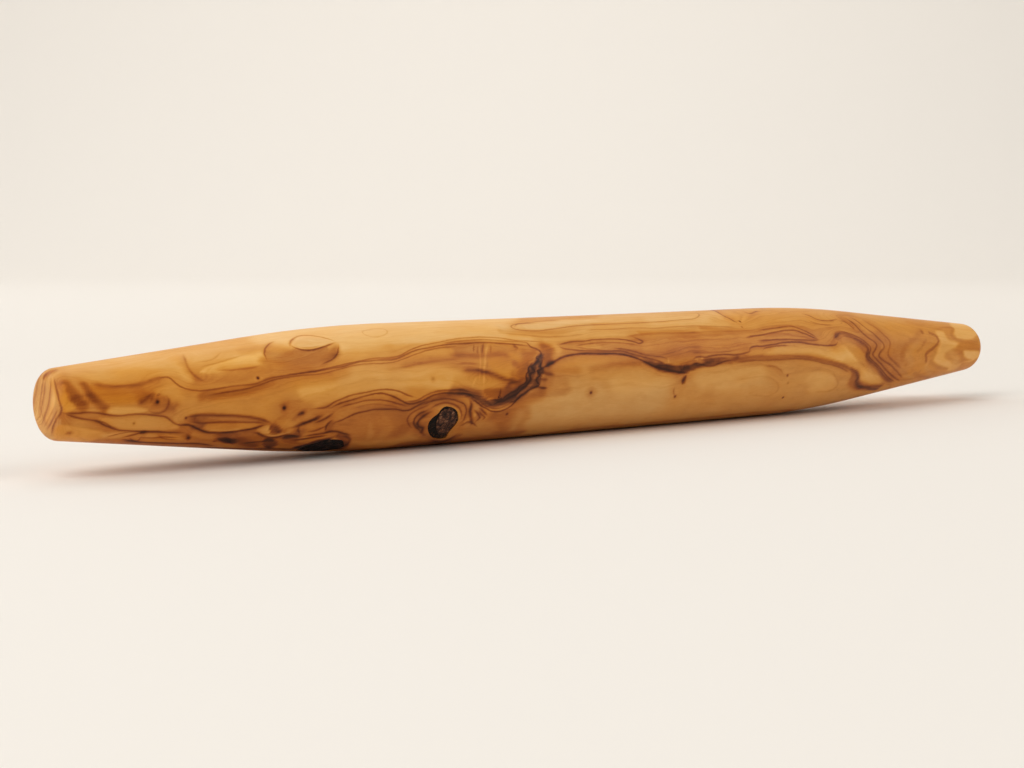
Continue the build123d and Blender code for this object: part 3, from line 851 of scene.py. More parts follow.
        [(963, 351), (976, 350), (979, 356), (970, 362), (962, 357)], 0.16, -0.2, 1, 2.5),
    "tip_pale_top": field(
        [(950, 322), (968, 325), (977, 332), (974, 338), (958, 337), (954, 330)], 0.14, 0.2, 0.95, 3),
    "tip_top_brown": wash(
        [(938, 329), (946, 327.5), (953, 329), (952, 335), (957, 339), (966, 341), (978, 341)],
        0.9, 0.48, 0.3, 0.9),
    "tip_right_brown": field(
        [(960, 341), (974, 339), (981, 344), (980, 350), (964, 350), (956, 347)], 0.46, 0.5, 0.9, 3),
    "tip_blob": field(
        [(946, 353), (953, 349), (963, 350), (964, 356), (972, 360), (960, 360), (950, 359)],
        0.5, 0.4, 0.95, 2.5),
    "tip_low_brown": wash([(930, 362), (938, 367), (947, 369.5)], 1.0, 0.5, 0.1, 0.9),
    "tip_low_right": wash([(960, 367), (966, 363), (970, 367)], 0.9, 0.4, 0.4, 0.8),
    "tip_wave": wash(
        [(921, 331), (914, 338), (907, 344), (904, 350), (902, 357), (906, 364)],
        1.3, 0.5, 0.0, 0.8, 0.8),
    "tip_wave_pale": wash([(917, 342), (912, 350), (908, 356), (912, 364)], 1.3, 0.4, -0.3, 0.7, 0.8),
    "tip_wave_middle": wash([(925, 340), (922, 348), (918, 352)], 0.8, 0.5, 0.0, 0.8, 0.8),
    "tip_zigzag": wash(
        [(929, 333), (936, 336.5), (937, 343), (933, 348.5), (928, 352.5), (925, 356), (926, 361)],
        0.75, 0.6, 0.1, 0.95),
    "tip_zigzag_pale": wash([(931, 340), (929, 346), (925, 350)], 0.6, 0.4, -0.2, 0.8),
    "tip_below": wash([(928, 363), (926, 369), (930, 374)], 1.1, 0.38, -0.6, 0.7, 0.7),
    "tip_foot": wash([(914, 373), (920, 376), (930, 378)], 1.0, 0.52, -0.4, 0.8),
    "tip_foot_line": wash([(890, 378), (902, 380), (914, 378), (920, 371)], 0.7, 0.5, -0.2, 0.7),
    "taper_fold_pale": wash([(888, 361), (896, 368), (904, 375), (914, 378)], 0.7, 0.4, -0.8, 0.8),
    "taper_fold": wash([(891, 358), (899, 366), (908, 373)], 0.6, 0.5, -0.5, 0.8),
    "taper_gold": field([(888, 322), (902, 322), (912, 330), (902, 342), (890, 340)], 0.34, 0.3, 0.8, 8),
    # From the oval to the slim taper
    "oval_dusk": wash([(296, 350.5), (312, 351.5), (326, 348.5)], 0.8, 0.6, -1.0, 0.7, 0.8),
    "top_right_light": field(
        [(560, 338), (600, 324), (700, 319), (730, 324), (700, 335), (630, 338)],
        0.24, -0.6, 0.9, 8, rings=0.45),
    "patch_over_drip": field(
        [(671, 340), (686, 336), (700, 340), (704, 352), (696, 362), (684, 368), (672, 362), (664, 350)],
        0.56, 0.3, 0.8, 16, rings=0.5),
    "grey_over_arch": field(
        [(648, 361), (656, 361), (668, 363), (682, 364.5), (688, 363), (690, 369), (684, 373.5),
         (670, 371.5), (656, 368)],
        0.76, -0.6, 0.9, 2),
    "arm_fill": field(
        [(686, 365), (694, 363), (704, 362.4), (713, 360.2), (722, 359), (730, 360), (734, 364.5),
         (724, 363.8), (714, 365.8), (706, 367.4), (696, 368.6), (688, 371)],
        0.78, -0.6, 0.9, 2),
    "drip_red": wash([(684.5, 377.5), (683, 383)], 0.7, 0.68, 0.4, 0.9, 0.5),
    "rust_area": field(
        [(447, 345), (470, 343), (486, 345), (484, 352), (466, 352), (450, 352)], 0.5, -0.5, 0.75),
    "gold_over_shelf": wash([(398, 362), (412, 357), (430, 352.5), (452, 350)], 1.2, 0.33, 0.3, 0.8, 0.8),
    "red_curl_fill": wash([(424, 413), (417, 418), (415, 424), (420, 431)], 1.2, 0.6, 0.0, 0.8, 0.8),
    "streak_a": wash([(700, 328), (730, 330), (760, 331)], 1.0, 0.46, 0.2, 0.7, 0.8, rings=0.5),
    "streak_b": wash([(640, 333), (680, 332), (720, 333.5)], 0.9, 0.42, 0.4, 0.7, 0.8),
    "streak_c": wash([(690, 341), (712, 340.5), (738, 340)], 1.1, 0.5, 0.2, 0.7, 0.8),
    "streak_d": wash([(705, 347), (730, 346.5), (750, 344)], 0.9, 0.44, 0.6, 0.7, 0.8),
    "stream_fill": field(
        [(852, 322), (866, 331), (876, 340), (879, 347), (875, 354), (884, 364), (898, 376), (886, 376),
         (872, 362), (868, 352), (871, 346), (862, 337), (850, 328)],
        0.54, -0.2, 0.85, 3),
    "stream_fill_right": field(
        [(876, 330), (888, 340), (888, 352), (896, 364), (906, 374), (900, 376), (884, 362), (878, 354),
         (884, 346), (874, 334)],
        0.5, -0.3, 0.7, 4),
    # Grain of the left
    "grain_high_left": wash([(90, 362), (130, 356), (176, 350)], 0.8, 0.34, 0.0, 0.6, 0.9),
    "grain_high_left_pale": wash([(120, 370), (150, 364), (176, 360)], 1.4, 0.2, 0.3, 0.7, 0.9),
    "heart_pale_top": wash([(84, 375), (110, 380), (134, 378), (156, 372)], 1.2, 0.28, 0.5, 0.8, 0.8),
    "crinkle_tail": wash([(452, 391), (462, 391.5), (472, 394), (480, 398)], 1.1, 0.66, -0.4, 0.7, 0.7),
    "left_of_crinkle": wash([(533, 352), (527, 359), (521, 366)], 1.6, 0.54, 0.8, 0.8, 0.8),
    "under_left_fade": wash([(264, 360), (278, 363), (296, 369), (310, 369)], 1.7, 0.5, 0.2, 0.8, 0.8),
    # Along the far side
    "far_honey": wash(
        [(-215, 112), (-120, 118), (0, 116), (100, 116), (215, 112)],
        3.0, 0.34, 0.0, 0.8, 0.8, rings=0.5, far_side=True),
    "far_gold": wash(
        [(-130, 186), (-60, 184), (0, 190), (40, 186)],
        3.4, 0.3, 0.4, 0.8, 0.8, rings=0.5, far_side=True),
    # Teeth of the crinkled band
    "crinkle_tooth_wash": wash([(528, 366), (522, 370.5), (515, 374.5)], 0.9, 0.68, 0.2, 0.8, 0.8),
    "crinkle_tooth_low": wash([(526, 380), (518, 379.5), (509, 379)], 0.8, 0.64, 0.2, 0.8, 0.8),
    "crinkle_red": wash([(543, 347), (549, 351), (549, 357), (543, 361)], 2.0, 0.62, 1.0, 0.85, 0.8),
    # Broad paler and darker tones, with painted sheen along the top and painted shade along the bottom edge
    "vein_light": wash(
        [(400, 347), (420, 341.5), (445, 338), (470, 336), (500, 337), (530, 339)],
        2.4, 0.1, -0.4, 0.85, 0.8),
    "vein_light_left": wash([(378, 353), (400, 350), (420, 346.5)], 1.6, 0.22, 0.0, 0.7, 0.8),
    "light_under_shelf": wash([(358, 372), (378, 371), (396, 374)], 3.4, 0.22, -0.2, 0.75, 0.8),
    "light_middle": wash([(346, 384), (370, 383), (402, 384)], 2.8, 0.3, -0.6, 0.6, 0.8),
    # Painted sheen: pale yellow washes along the top, where the soft lights glance off the oiled wood
    "painted_sheen_top_middle": wash([(503, 328), (530, 327), (560, 326), (586, 325)], 2.4, 0.2, -1.2, 0.65, 0.8),
    "painted_sheen_top_right": wash([(652, 320), (680, 319), (704, 318)], 3.0, 0.12, -0.8, 0.65, 0.8),
    "upper_right_brown": wash(
        [(640, 344), (700, 339), (750, 341), (790, 345), (840, 341)], 4.0, 0.47, 0.6, 0.5, 0.9),
    "under_drip_light": wash([(716, 363), (735, 360.5), (754, 360)], 1.2, 0.5, -0.2, 0.5, 0.8),
    "arch_light": wash([(586, 372), (620, 370), (652, 372)], 2.8, 0.32, -0.4, 0.65, 0.8),
    "right_light": wash([(704, 373), (730, 371), (756, 373)], 2.6, 0.33, -0.8, 0.65, 0.8),
    "tan_lower": wash([(528, 412), (560, 410), (600, 408), (656, 403)], 6.0, 0.37, -1.9, 0.85, 0.8),
    "tan_right": wash([(740, 394), (765, 393), (790, 391)], 3.0, 0.4, -0.8, 0.6, 0.8),
    "brown_left_of_knot": wash(
        [(398, 402), (404, 412), (404, 424), (398, 433)], 2.6, 0.66, 0.0, 0.6, 0.9),
    "brown_smooth": wash([(300, 415), (335, 412), (366, 415), (396, 413)], 4.0, 0.6, -0.3, 0.6, 0.9),
    "brown_left_strip": wash([(282, 352), (280, 370), (282, 394), (284, 414)], 4.0, 0.52, 0.1, 0.5, 0.9),
    "brown_right_of_knot": wash([(519, 402), (524, 413), (520, 428)], 2.2, 0.58, -0.4, 0.6, 0.9),
    "light_zig": wash([(846, 362), (868, 366), (888, 372)], 1.8, 0.4, -0.4, 0.45, 0.9),
    "light_tongue_tip": wash([(824, 371), (840, 372), (852, 375)], 1.6, 0.33, -0.2, 0.6, 0.8),
    "light_top_taper": wash([(842, 327), (870, 329)], 2.0, 0.34, 0.0, 0.6, 0.8),
    "light_end_right": wash([(944, 347), (954, 356), (958, 366)], 2.2, 0.28, -0.5, 0.6, 0.8),
    "light_left_end": wash([(62, 383), (84, 380), (108, 390), (146, 389)], 3.6, 0.42, 0.5, 0.5, 0.9),
    "light_left_low": wash([(82, 416), (97, 412)], 2.4, 0.36, -0.2, 0.75, 0.8),
    "light_left_pale": wash([(122, 419), (150, 421), (174, 417)], 3.4, 0.34, -0.5, 0.65, 0.8),
    "light_left_edge": wash([(104, 437), (126, 436), (152, 437)], 1.6, 0.32, -0.3, 0.8, 0.8),
    "under_oval": wash([(268, 354), (285, 357), (304, 357), (322, 352)], 1.6, 0.5, -0.7, 0.7, 0.8),
    # Painted shade: a dark band hugging the bottom edge, where the floor shades the pin
    "painted_shade_foot": wash(
        [(470, 444), (520, 437), (580, 429), (660, 422), (720, 416), (790, 410)],
        1.1, 0.7, 0.0, 0.6, 0.9),
    "vein_light_low": wash([(390, 351), (415, 349), (442, 349)], 2.0, 0.3, 0.0, 0.6, 0.8),
    "light_left_middle": wash([(212, 371), (235, 371), (262, 371)], 2.6, 0.36, 0.2, 0.5, 0.9),
    "light_left_top": wash([(130, 361), (150, 362), (168, 366), (172, 374)], 4.0, 0.18, -0.4, 0.55, 0.9),
    "light_near_end": wash([(58, 373), (76, 371), (100, 373)], 4.0, 0.24, -0.8, 0.55, 0.9),
    "light_near_end_low": wash([(56, 383), (72, 384)], 3.0, 0.34, -0.8, 0.4, 0.9),
    "light_orange_heart": wash([(104, 393), (125, 392), (148, 391)], 3.2, 0.36, 0.9, 0.8, 0.9),
    "light_orange_top": wash([(130, 382), (150, 381), (172, 382)], 3.2, 0.34, 0.4, 0.65, 0.9),
    "light_before_drip": wash([(700, 358.5), (716, 357.5), (732, 357.5)], 1.5, 0.42, -0.3, 0.7, 0.9),
    "light_over_tongue": wash([(752, 361), (780, 360), (812, 361)], 1.6, 0.38, -0.5, 0.45, 0.9),
    "light_tongue_top": wash([(776, 350), (800, 349), (826, 349)], 2.2, 0.28, -0.6, 0.55, 0.9),
    "light_zig_low": wash([(872, 368), (882, 374), (886, 382)], 2.2, 0.42, -0.8, 0.5, 0.9),
    "light_over_island": wash([(536, 338), (560, 338), (584, 338)], 1.8, 0.2, -0.5, 0.65, 0.9),
    "light_taper_low": wash([(846, 337), (858, 339), (870, 341)], 2.0, 0.38, 0.0, 0.5, 0.9),
    # The crinkled band, and last touches
    "crinkle_fill": field(
        [(540, 353), (537, 358), (535, 362), (530, 366), (527, 370), (526, 376), (525, 381), (521, 387),
         (514, 391), (506, 395), (498, 398.5), (488, 401), (480, 398), (470, 393.5), (462, 392),
         (464, 394.5), (474, 400), (484, 405.5), (494, 408), (503, 406), (511, 403), (518, 399),
         (525, 394), (531, 389), (538, 387), (541, 382), (539, 377), (543, 372), (542, 367), (543, 360),
         (545, 355)],
        0.83, -1.5, 0.92, 3),
    "crinkle_pale_a": wash([(537, 367), (535, 372), (534, 377)], 0.5, 0.6, -1.2, 0.7),
    "crinkle_pale_b": wash([(533, 384), (526, 389), (518, 394)], 0.4, 0.62, -1.2, 0.7),
    "under_band": wash([(508, 411), (520, 404), (530, 398.5), (540, 394)], 2.4, 0.58, -0.2, 0.8, 0.9),
    "over_streams": wash(
        [(318, 401), (332, 395), (345, 389.5), (360, 386.5), (376, 384)], 2.0, 0.3, 0.0, 0.8, 0.9),
    "light_bottom_left": wash([(214, 436), (236, 435), (262, 432)], 1.6, 0.5, -0.3, 0.5, 0.9),
    # Painted shade: the dark band along the bottom edge, under the front knot
    "painted_shade_foot_middle": wash(
        [(398, 445), (440, 441.5), (480, 437.5), (520, 432.5)], 1.9, 0.78, 0.0, 0.65, 0.9),
    "end_streak": wash([(67, 384), (71, 392), (76, 400), (83, 408)], 1.4, 0.64, 0.6, 0.85, 0.9),
    "end_streak_right": wash([(83, 385), (89, 395), (97, 403), (105, 410)], 1.1, 0.66, 0.5, 0.85, 0.9),
    "end_gold": wash([(63, 386), (65, 396), (66, 404)], 0.8, 0.34, 0.9, 0.7, 0.8),
    "hook_brown": wash([(853, 371), (852, 381), (856, 388), (868, 388.5)], 1.5, 0.64, -0.3, 0.8, 0.8),
    "zig_brown": wash([(866, 342), (872, 357), (880, 369), (892, 382)], 2.2, 0.5, -0.3, 0.6, 0.9),
    "band_low_left": wash([(462, 392), (472, 396), (482, 401.5)], 1.2, 0.8, -0.8, 0.75, 0.8),
    "light_left_of_band": wash([(512, 372), (516, 379), (514, 385)], 1.3, 0.46, 0.6, 0.6, 0.9),
    # The far side
    "far_cream": wash(
        [(-160, 128), (-80, 138), (0, 128), (90, 136), (170, 130)], 5.0, 0.16, -0.3, 0.9, far_side=True),
    "far_brown": wash(
        [(-200, 160), (-120, 170), (-40, 160), (30, 156), (120, 170), (200, 164)],
        4.0, 0.52, 0.0, 0.8, far_side=True),
    "far_pale": wash(
        [(-180, 205), (-90, 206), (-20, 198), (20, 206), (110, 208), (190, 204)],
        5.0, 0.2, -0.4, 0.9, far_side=True),
    "far_red": wash(
        [(-190, 240), (-100, 232), (-10, 244), (60, 236), (150, 246)], 4.0, 0.5, 0.2, 0.8, far_side=True),
    "far_eye_brown": wash([(54, 195), (70, 195)], 4.5, 0.6, 0.1, 0.9, far_side=True),
}

# How many lines may lie over one another at one place
LAYERS = 8

# Where the pith of the tree was: its angle, and its distance in radii of the barrel
PITH_ANGLE = 140
PITH_DISTANCE = 2.0


def rounded_line(corners, radii, step=0.4):
    """Points along a line through the corners, each rounded to its radius."""
    corners = [np.array(c, float) for c in corners]
    points = [corners[0]]
    for before, corner, after, radius in zip(corners, corners[1:], corners[2:], radii):
        into = (corner - before) / np.linalg.norm(corner - before)
        out = (after - corner) / np.linalg.norm(after - corner)
        turn = math.acos(float(np.clip(into @ out, -1, 1)))
        start = corner - into * radius * math.tan(turn / 2)
        inward = out - into * float(into @ out)
        inward /= np.linalg.norm(inward)
        for angle in np.linspace(0, turn, max(6, int(radius * turn / step))):
            points.append(start + into * radius * math.sin(angle) + inward * radius * (1 - math.cos(angle)))
    points.append(corners[-1])
    return np.array(points)


def turned_outline():
    """Half of the pin's section as (place along, radius), from end centre to end centre."""
    corners = [
        (-HALF_LENGTH, 0),
        (-HALF_LENGTH, THICK_END_RADIUS),
        (-HALF_LENGTH + THICK_END_TAPER, BARREL_RADIUS),
        (HALF_LENGTH - SLIM_END_TAPER, BARREL_RADIUS),
        (HALF_LENGTH, SLIM_END_RADIUS),
        (HALF_LENGTH, 0),
    ]
    return rounded_line(corners, (THICK_END_RIM, TAPER_BLEND_RADIUS, TAPER_BLEND_RADIUS, SLIM_END_RIM))


OUTLINE = turned_outline()
OUTLINE_LENGTHS = np.concatenate([[0], np.cumsum(np.linalg.norm(np.diff(OUTLINE, axis=0), axis=1))])


def radius_at(x):
    """The pin's radius at a place along it."""
    return np.interp(x, OUTLINE[1:-1, 0], OUTLINE[1:-1, 1])


def on_surface(x, angle):
    """The points of the turned surface at places and angles in degrees."""
    x, turn = np.broadcast_arrays(np.array(x, float), np.radians(angle))
    radius = radius_at(x)
    return np.stack([x, -radius * np.cos(turn), radius * np.sin(turn)], axis=-1)


def outward(points):
    """Directions that point out of the wood at points on its surface."""
    radius = np.hypot(points[:, 1], points[:, 2])
    slope = (radius_at(points[:, 0] + 0.2) - radius_at(points[:, 0] - 0.2)) / 0.4
    spokes = points / np.maximum(radius, 1e-6)[:, None]
    facing = np.stack([-slope, spokes[:, 1], spokes[:, 2]], axis=-1)
    ends = (np.abs(points[:, 0]) > HALF_LENGTH - 0.05) & (radius < radius_at(points[:, 0]) - 0.05)
    facing[ends] = np.stack([np.sign(points[ends, 0]), 0 * radius[ends], 0 * radius[ends]], axis=-1)
    return facing / np.linalg.norm(facing, axis=1, keepdims=True)


def bend(points):
    """How far the seasoned pin's warp lifts points."""
    return WARP * (points[..., 0] / HALF_LENGTH) ** 2


def camera_axes():
    """The camera's right, up and forward directions."""
    ahead = np.array((math.sin(CAMERA_HEADING), math.cos(CAMERA_HEADING), 0))
    right = np.array((math.cos(CAMERA_HEADING), -math.sin(CAMERA_HEADING), 0))
    forward = ahead * math.cos(CAMERA_PITCH) - np.array((0, 0, math.sin(CAMERA_PITCH)))
    return right, np.cross(right, forward), forward


def pixels_of(points):
    """Where the photograph shows points of the straight pin."""
    right, up, forward = camera_axes()
    off = points - CAMERA_PLACE
    off[..., 2] += bend(points)
    depth = off @ forward
    across, above = FOCAL * (off @ right) / depth, FOCAL * (off @ up) / depth
    return np.stack([FRAME_WIDTH / 2 + across, FRAME_HEIGHT / 2 - above], axis=-1)


def height_off_wood(points):
    """How far outside the warped pin's surface points lie, roughly."""
    height = points[..., 2] - bend(points)
    beyond = np.abs(points[..., 0]) - HALF_LENGTH
    return np.maximum(np.hypot(points[..., 1], height) - radius_at(points[..., 0]), beyond)


def seen_at(pixels):
    """The points of the straight pin's surface that the photograph shows at these pixels."""
    right, up, forward = camera_axes()
    pixels = np.array(pixels, float)
    across = (pixels[:, 0] - FRAME_WIDTH / 2) / FOCAL
    above = (FRAME_HEIGHT / 2 - pixels[:, 1]) / FOCAL
    rays = forward + across[:, None] * right + above[:, None] * up
    steps = np.linspace(500, 1050, 420)
    heights = height_off_wood(CAMERA_PLACE + rays[:, None, :] * steps[None, :, None])
    hit = (heights <= 0).any(1)
    first = np.where(hit, (heights <= 0).argmax(1), heights.argmin(1))
    near = steps[np.maximum(first - 1, 0)]
    far = steps[first]
    for _ in range(14):
        middle = (near + far) / 2
        within = height_off_wood(CAMERA_PLACE + rays * middle[:, None]) <= 0
        near, far = np.where(within, near, middle), np.where(within, middle, far)
    found = CAMERA_PLACE + rays * np.where(hit, far, steps[first])[:, None]
    found[:, 2] -= bend(found)
    missed = np.where(hit, 1, radius_at(found[:, 0]) / np.hypot(found[:, 1], found[:, 2]))
    found[:, 1:] *= missed[:, None]
    return found


def smooth_line(points, spacing, closed=False):
    """A smooth line through given points, as close samples."""
    points = np.array(points, float)
    if closed:
        guides = np.vstack([points[-1], points, points[:2]])
    else:
        guides = np.vstack([2 * points[0] - points[1], points, 2 * points[-1] - points[-2]])
    runs = []
    for p0, p1, p2, p3 in zip(guides, guides[1:], guides[2:], guides[3:]):
        gaps = [math.sqrt(max(np.linalg.norm(b - a), 1e-6)) for a, b in ((p0, p1), (p1, p2), (p2, p3))]
        t0, t1, t2, t3 = np.cumsum([0] + gaps)
        count = max(2, int(np.linalg.norm(p2 - p1) / spacing))
        t = np.linspace(t1, t2, count, endpoint=False)[:, None]
        a1 = ((t1 - t) * p0 + (t - t0) * p1) / (t1 - t0)
        a2 = ((t2 - t) * p1 + (t - t1) * p2) / (t2 - t1)
        a3 = ((t3 - t) * p2 + (t - t2) * p3) / (t3 - t2)
        b1 = ((t2 - t) * a1 + (t - t0) * a2) / (t2 - t0)
        b2 = ((t3 - t) * a2 + (t - t1) * a3) / (t3 - t1)
        runs.append(((t2 - t) * b1 + (t - t1) * b2) / (t2 - t1))
    runs.append(runs[0][:1] if closed else points[-1:])
    return np.vstack(runs)


def on_wood(points, far_side=False, closed=False):
    """A smooth line on the surface, through pixels or, on the far side, (place, angle) points."""
    if far_side:
        round_scale = math.radians(1) * BARREL_RADIUS
        curve = smooth_line([(x, angle * round_scale) for x, angle in points], 0.8, closed)
        return on_surface(curve[:, 0], curve[:, 1] / round_scale)
    return seen_at(smooth_line(points, 1.6, closed))


def beside(path, places):
    """Distance of places from a path, left of it as seen from outside, and the share along it."""
    close = (places ** 2).sum(1)[:, None] + (path ** 2).sum(1)[None] - 2 * places @ path.T
    nearest = close.argmin(1)
    lengths = np.concatenate([[0], np.cumsum(np.linalg.norm(np.diff(path, axis=0), axis=1))])
    best = np.full(len(places), np.inf)
    signed = np.zeros(len(places))
    share = np.zeros(len(places))
    facing = outward(path)
    for offset in (-1, 0):
        start = np.clip(nearest + offset, 0, len(path) - 2)
        step = path[start + 1] - path[start]
        size = np.maximum((step ** 2).sum(1), 1e-9)
        off = places - path[start]
        along = np.clip((off * step).sum(1) / size, 0, 1)
        gap = off - along[:, None] * step
        distance = np.linalg.norm(gap, axis=1)
        left = np.cross(facing[start], step)
        side = np.where((gap * left).sum(1) >= 0, 1, -1)
        better = distance < best
        best[better] = distance[better]
        signed[better] = (distance * side)[better]
        share[better] = ((lengths[start] + along * np.sqrt(size)) / lengths[-1])[better]
    return signed, share


def ease(low, high, value):
    """A smooth rise from 0 at low to 1 at high."""
    share = np.clip((value - low) / (high - low), 0, 1)
    return share * share * (3 - 2 * share)


class Value:
    """A number or a colour in a finish, which operators turn into nodes."""

    def __init__(self, finish, socket):
        self.finish = finish
        self.socket = socket

    def math(self, operation, *others):
        return self.finish.node("ShaderNodeMath", {"operation": operation}, dict(enumerate((self, *others))))

    def __add__(self, other):
        return self.math("ADD", other)

    def __sub__(self, other):
        return self.math("SUBTRACT", other)

    def __mul__(self, other):
        return self.math("MULTIPLY", other)

    def __truediv__(self, other):
        return self.math("DIVIDE", other)

    def __neg__(self):
        return self * -1.0

    def __rsub__(self, other):
        return self.finish.node("ShaderNodeMath", {"operation": "SUBTRACT"}, {0: other, 1: self})

    __radd__ = __add__
    __rmul__ = __mul__


class Finish:
    """One material and the nodes that make it."""

    def __init__(self, name):
        self.material = bpy.data.materials.new(name)
        self.material.use_nodes = True
        self.tree = self.material.node_tree
        self.shader = self.tree.nodes["Principled BSDF"]

    def node(self, kind, settings=None, sockets=None, out=0):
        """Adds a node, sets it, fills its sockets, and gives one of its outputs."""
        node = self.tree.nodes.new(kind)
        for name, value in (settings or {}).items():
            if name == "stops":
                self.set_stops(node.color_ramp, value)
            else:
                setattr(node, name, value)
        for key, value in (sockets or {}).items():
            self.fill(node.inputs[key], value)
        return Value(self, node.outputs[out])

    def fill(self, socket, value):
        if isinstance(value, Value):
            self.tree.links.new(value.socket, socket)
        else:
            socket.default_value = value

    def set_stops(self, ramp, stops):
        while len(ramp.elements) < len(stops):
            ramp.elements.new(1)
        for element, (place, colour) in zip(ramp.elements, stops):
            element.position = place
            element.color = (*colour, 1)

    def surface(self, **sockets):
        """Sets the shader's own sockets, whose names are written with _ for a space."""
        for name, value in sockets.items():
            self.fill(self.shader.inputs[name.replace("_", " ")], value)

    def stored(self, name):
        """The four numbers kept on the mesh under a name."""
        attribute = self.node("ShaderNodeAttribute", {"attribute_name": name}, out="Color")
        parts = self.node("ShaderNodeSeparateColor", {}, {0: attribute})
        separate = parts.socket.node.outputs
        alpha = Value(self, attribute.socket.node.outputs["Alpha"])
        return [Value(self, separate[0]), Value(self, separate[1]), Value(self, separate[2]), alpha]

    def place(self, stretch=(1, 1, 1)):
        """The place on the wood in millimetres, with each axis stretched."""
        spot = self.node("ShaderNodeTexCoord", out="Object")
        scale = tuple(s / MM for s in stretch)
        return self.node("ShaderNodeVectorMath", {"operation": "MULTIPLY"}, {0: spot, 1: scale})

    def mottle(self, place, scale, detail=2.0, roughness=0.5):
        """Cloudy noise from 0 to 1."""
        sockets = {"Vector": place, "Scale": scale, "Detail": detail, "Roughness": roughness}
        return self.node("ShaderNodeTexNoise", {}, sockets)


def linear(red, green, blue):
    """A colour that is written as a screen shows it, from 0 to 255, as light."""
    shares = (c / 255 for c in (red, green, blue))
    return tuple(s / 12.92 if s <= 0.04045 else ((s + 0.055) / 1.055) ** 2.4 for s in shares)


def kept_on(mesh, name, values):
    """Stores four numbers for each vertex."""
    attribute = mesh.attributes.new(name, "FLOAT_COLOR", "POINT")
    attribute.data.foreach_set("color", np.ascontiguousarray(values, np.float32).ravel())


def vertices_of(mesh):
    """The mesh's vertices in millimetres, with the warp taken out."""
    flat = np.empty(len(mesh.vertices) * 3)
    mesh.vertices.foreach_get("co", flat)
    points = flat.reshape(-1, 3) / MM
    points[:, 2] -= bend(points)
    return points


# How far the shade beside a line goes, to a third of its strength: so many widths, and more
SHADE_WIDTHS = 2.6
SHADE_REACH = 0.5


# A line this wide or wider is laid with the tones, and a finer one is drawn by its distance
BROAD_LINE = 0.85


def path_of(figure, chance):
    """A line's way over the wood, shaken where the line is wild."""
    path = on_wood(figure["points"], figure["far_side"], figure["closed"])
    if figure["wild"]:
        shake = chance.normal(0, figure["wild"], (len(path), 3))
        path = path + (shake + np.roll(shake, 1, axis=0)) / 2
    return path


def near_line(figure, path, places, behind, ahead):
    """The places beside a line: which they are, their distance, and how full the line is there."""
    reach = max(behind, ahead)
    low, high = path.min(0) - reach, path.max(0) + reach
    near = np.flatnonzero(((places > low) & (places < high)).all(1))
    signed, share = beside(path, places[near])
    signed *= figure["side"]
    kept = (signed < ahead) & (signed > -behind)
    near, signed, share = near[kept], signed[kept], share[kept]
    size = np.linalg.norm(np.diff(path, axis=0), axis=1).sum()
    if figure["closed"] or size < 1:
        return near, signed, np.ones(len(share))
    tip = min(0.35, 4 / size)
    return near, signed, ease(-0.02, tip, share) * ease(-0.02, tip, 1 - share)


def draw_lines(mesh, paths):
    """Stores the fine lines' distance, darkness and width in layers where none overlap."""
    places = vertices_of(mesh)
    layers = [np.tile([60.0, 0, 1, 0], (len(places), 1)) for _ in range(LAYERS)]
    taken = [np.zeros(len(places), bool) for _ in range(LAYERS)]
    for name, figure in LINES.items():
        width = figure["width"]
        if width >= BROAD_LINE:
            continue
        reach = 2.2 * width + 0.55
        near, signed, full = near_line(figure, paths[name], places, reach + 1.25, reach + 1.25)
        fade = 1 - ease(reach * 0.75, reach, np.abs(signed))
        for values, used in zip(layers, taken):
            if not used[near].any():
                break
        else:
            print("no layer left for", name)
            continue
        used[near] = True
        values[near, 0] = signed
        values[near, 1] = figure["dark"] * full * fade
        values[near, 2] = width * (0.55 + 0.45 * full)
    print("layers used", [int(t.sum()) for t in taken])
    for number, values in enumerate(layers):
        kept_on(mesh, "lines_%d" % number, values)


def lay_shades(places, tone, paths):
    """Darkens the tone along the broad lines and on the shaded side of every line."""
    for name, figure in LINES.items():
        width = figure["width"]
        broad = width >= BROAD_LINE
        if not broad and not figure["shade"]:
            continue
        reach = SHADE_WIDTHS * width + SHADE_REACH
        behind = max(2.2 * width, 1.2) if broad else 1.2
        near, signed, full = near_line(figure, paths[name], places, behind, max(3 * reach, behind))
        past = np.maximum(signed / reach, signed * -2.6)
        left = 1 - figure["shade"] * np.exp(-past)
        if broad:
            left *= 1 - figure["dark"] * np.exp(-(signed / width) ** 2)
        tone[near] += (0.98 - tone[near]) * (1 - left) * full


def inside(outline, pixels):
    """How far pixels lie inside a closed outline; outside it the number is negative."""
    best = np.full(len(pixels), np.inf)
    within = np.zeros(len(pixels), bool)
    for a, b in zip(outline, np.roll(outline, -1, axis=0)):
        step = b - a
        off = pixels - a
        along = np.clip(off @ step / max(step @ step, 1e-9), 0, 1)
        best = np.minimum(best, np.linalg.norm(off - along[:, None] * step, axis=1))
        if a[1] != b[1]:
            crosses = (a[1] > pixels[:, 1]) != (b[1] > pixels[:, 1])
            within ^= crosses & (pixels[:, 0] < a[0] + (pixels[:, 1] - a[1]) / (b[1] - a[1]) * step[0])
    return np.where(within, best, -best)


def stray(places):
    """Small shifts of places, longer along the grain, so that no tone has an even edge."""
    along = np.array((0.3, 1, 1))
    shifts = [
        noise.noise_vector(Vector(p * along * 0.2)) * 0.8 + noise.noise_vector(Vector(p * along * 0.7)) * 0.16
        for p in places
    ]
    return np.array(shifts) * (2.2, 1, 1)


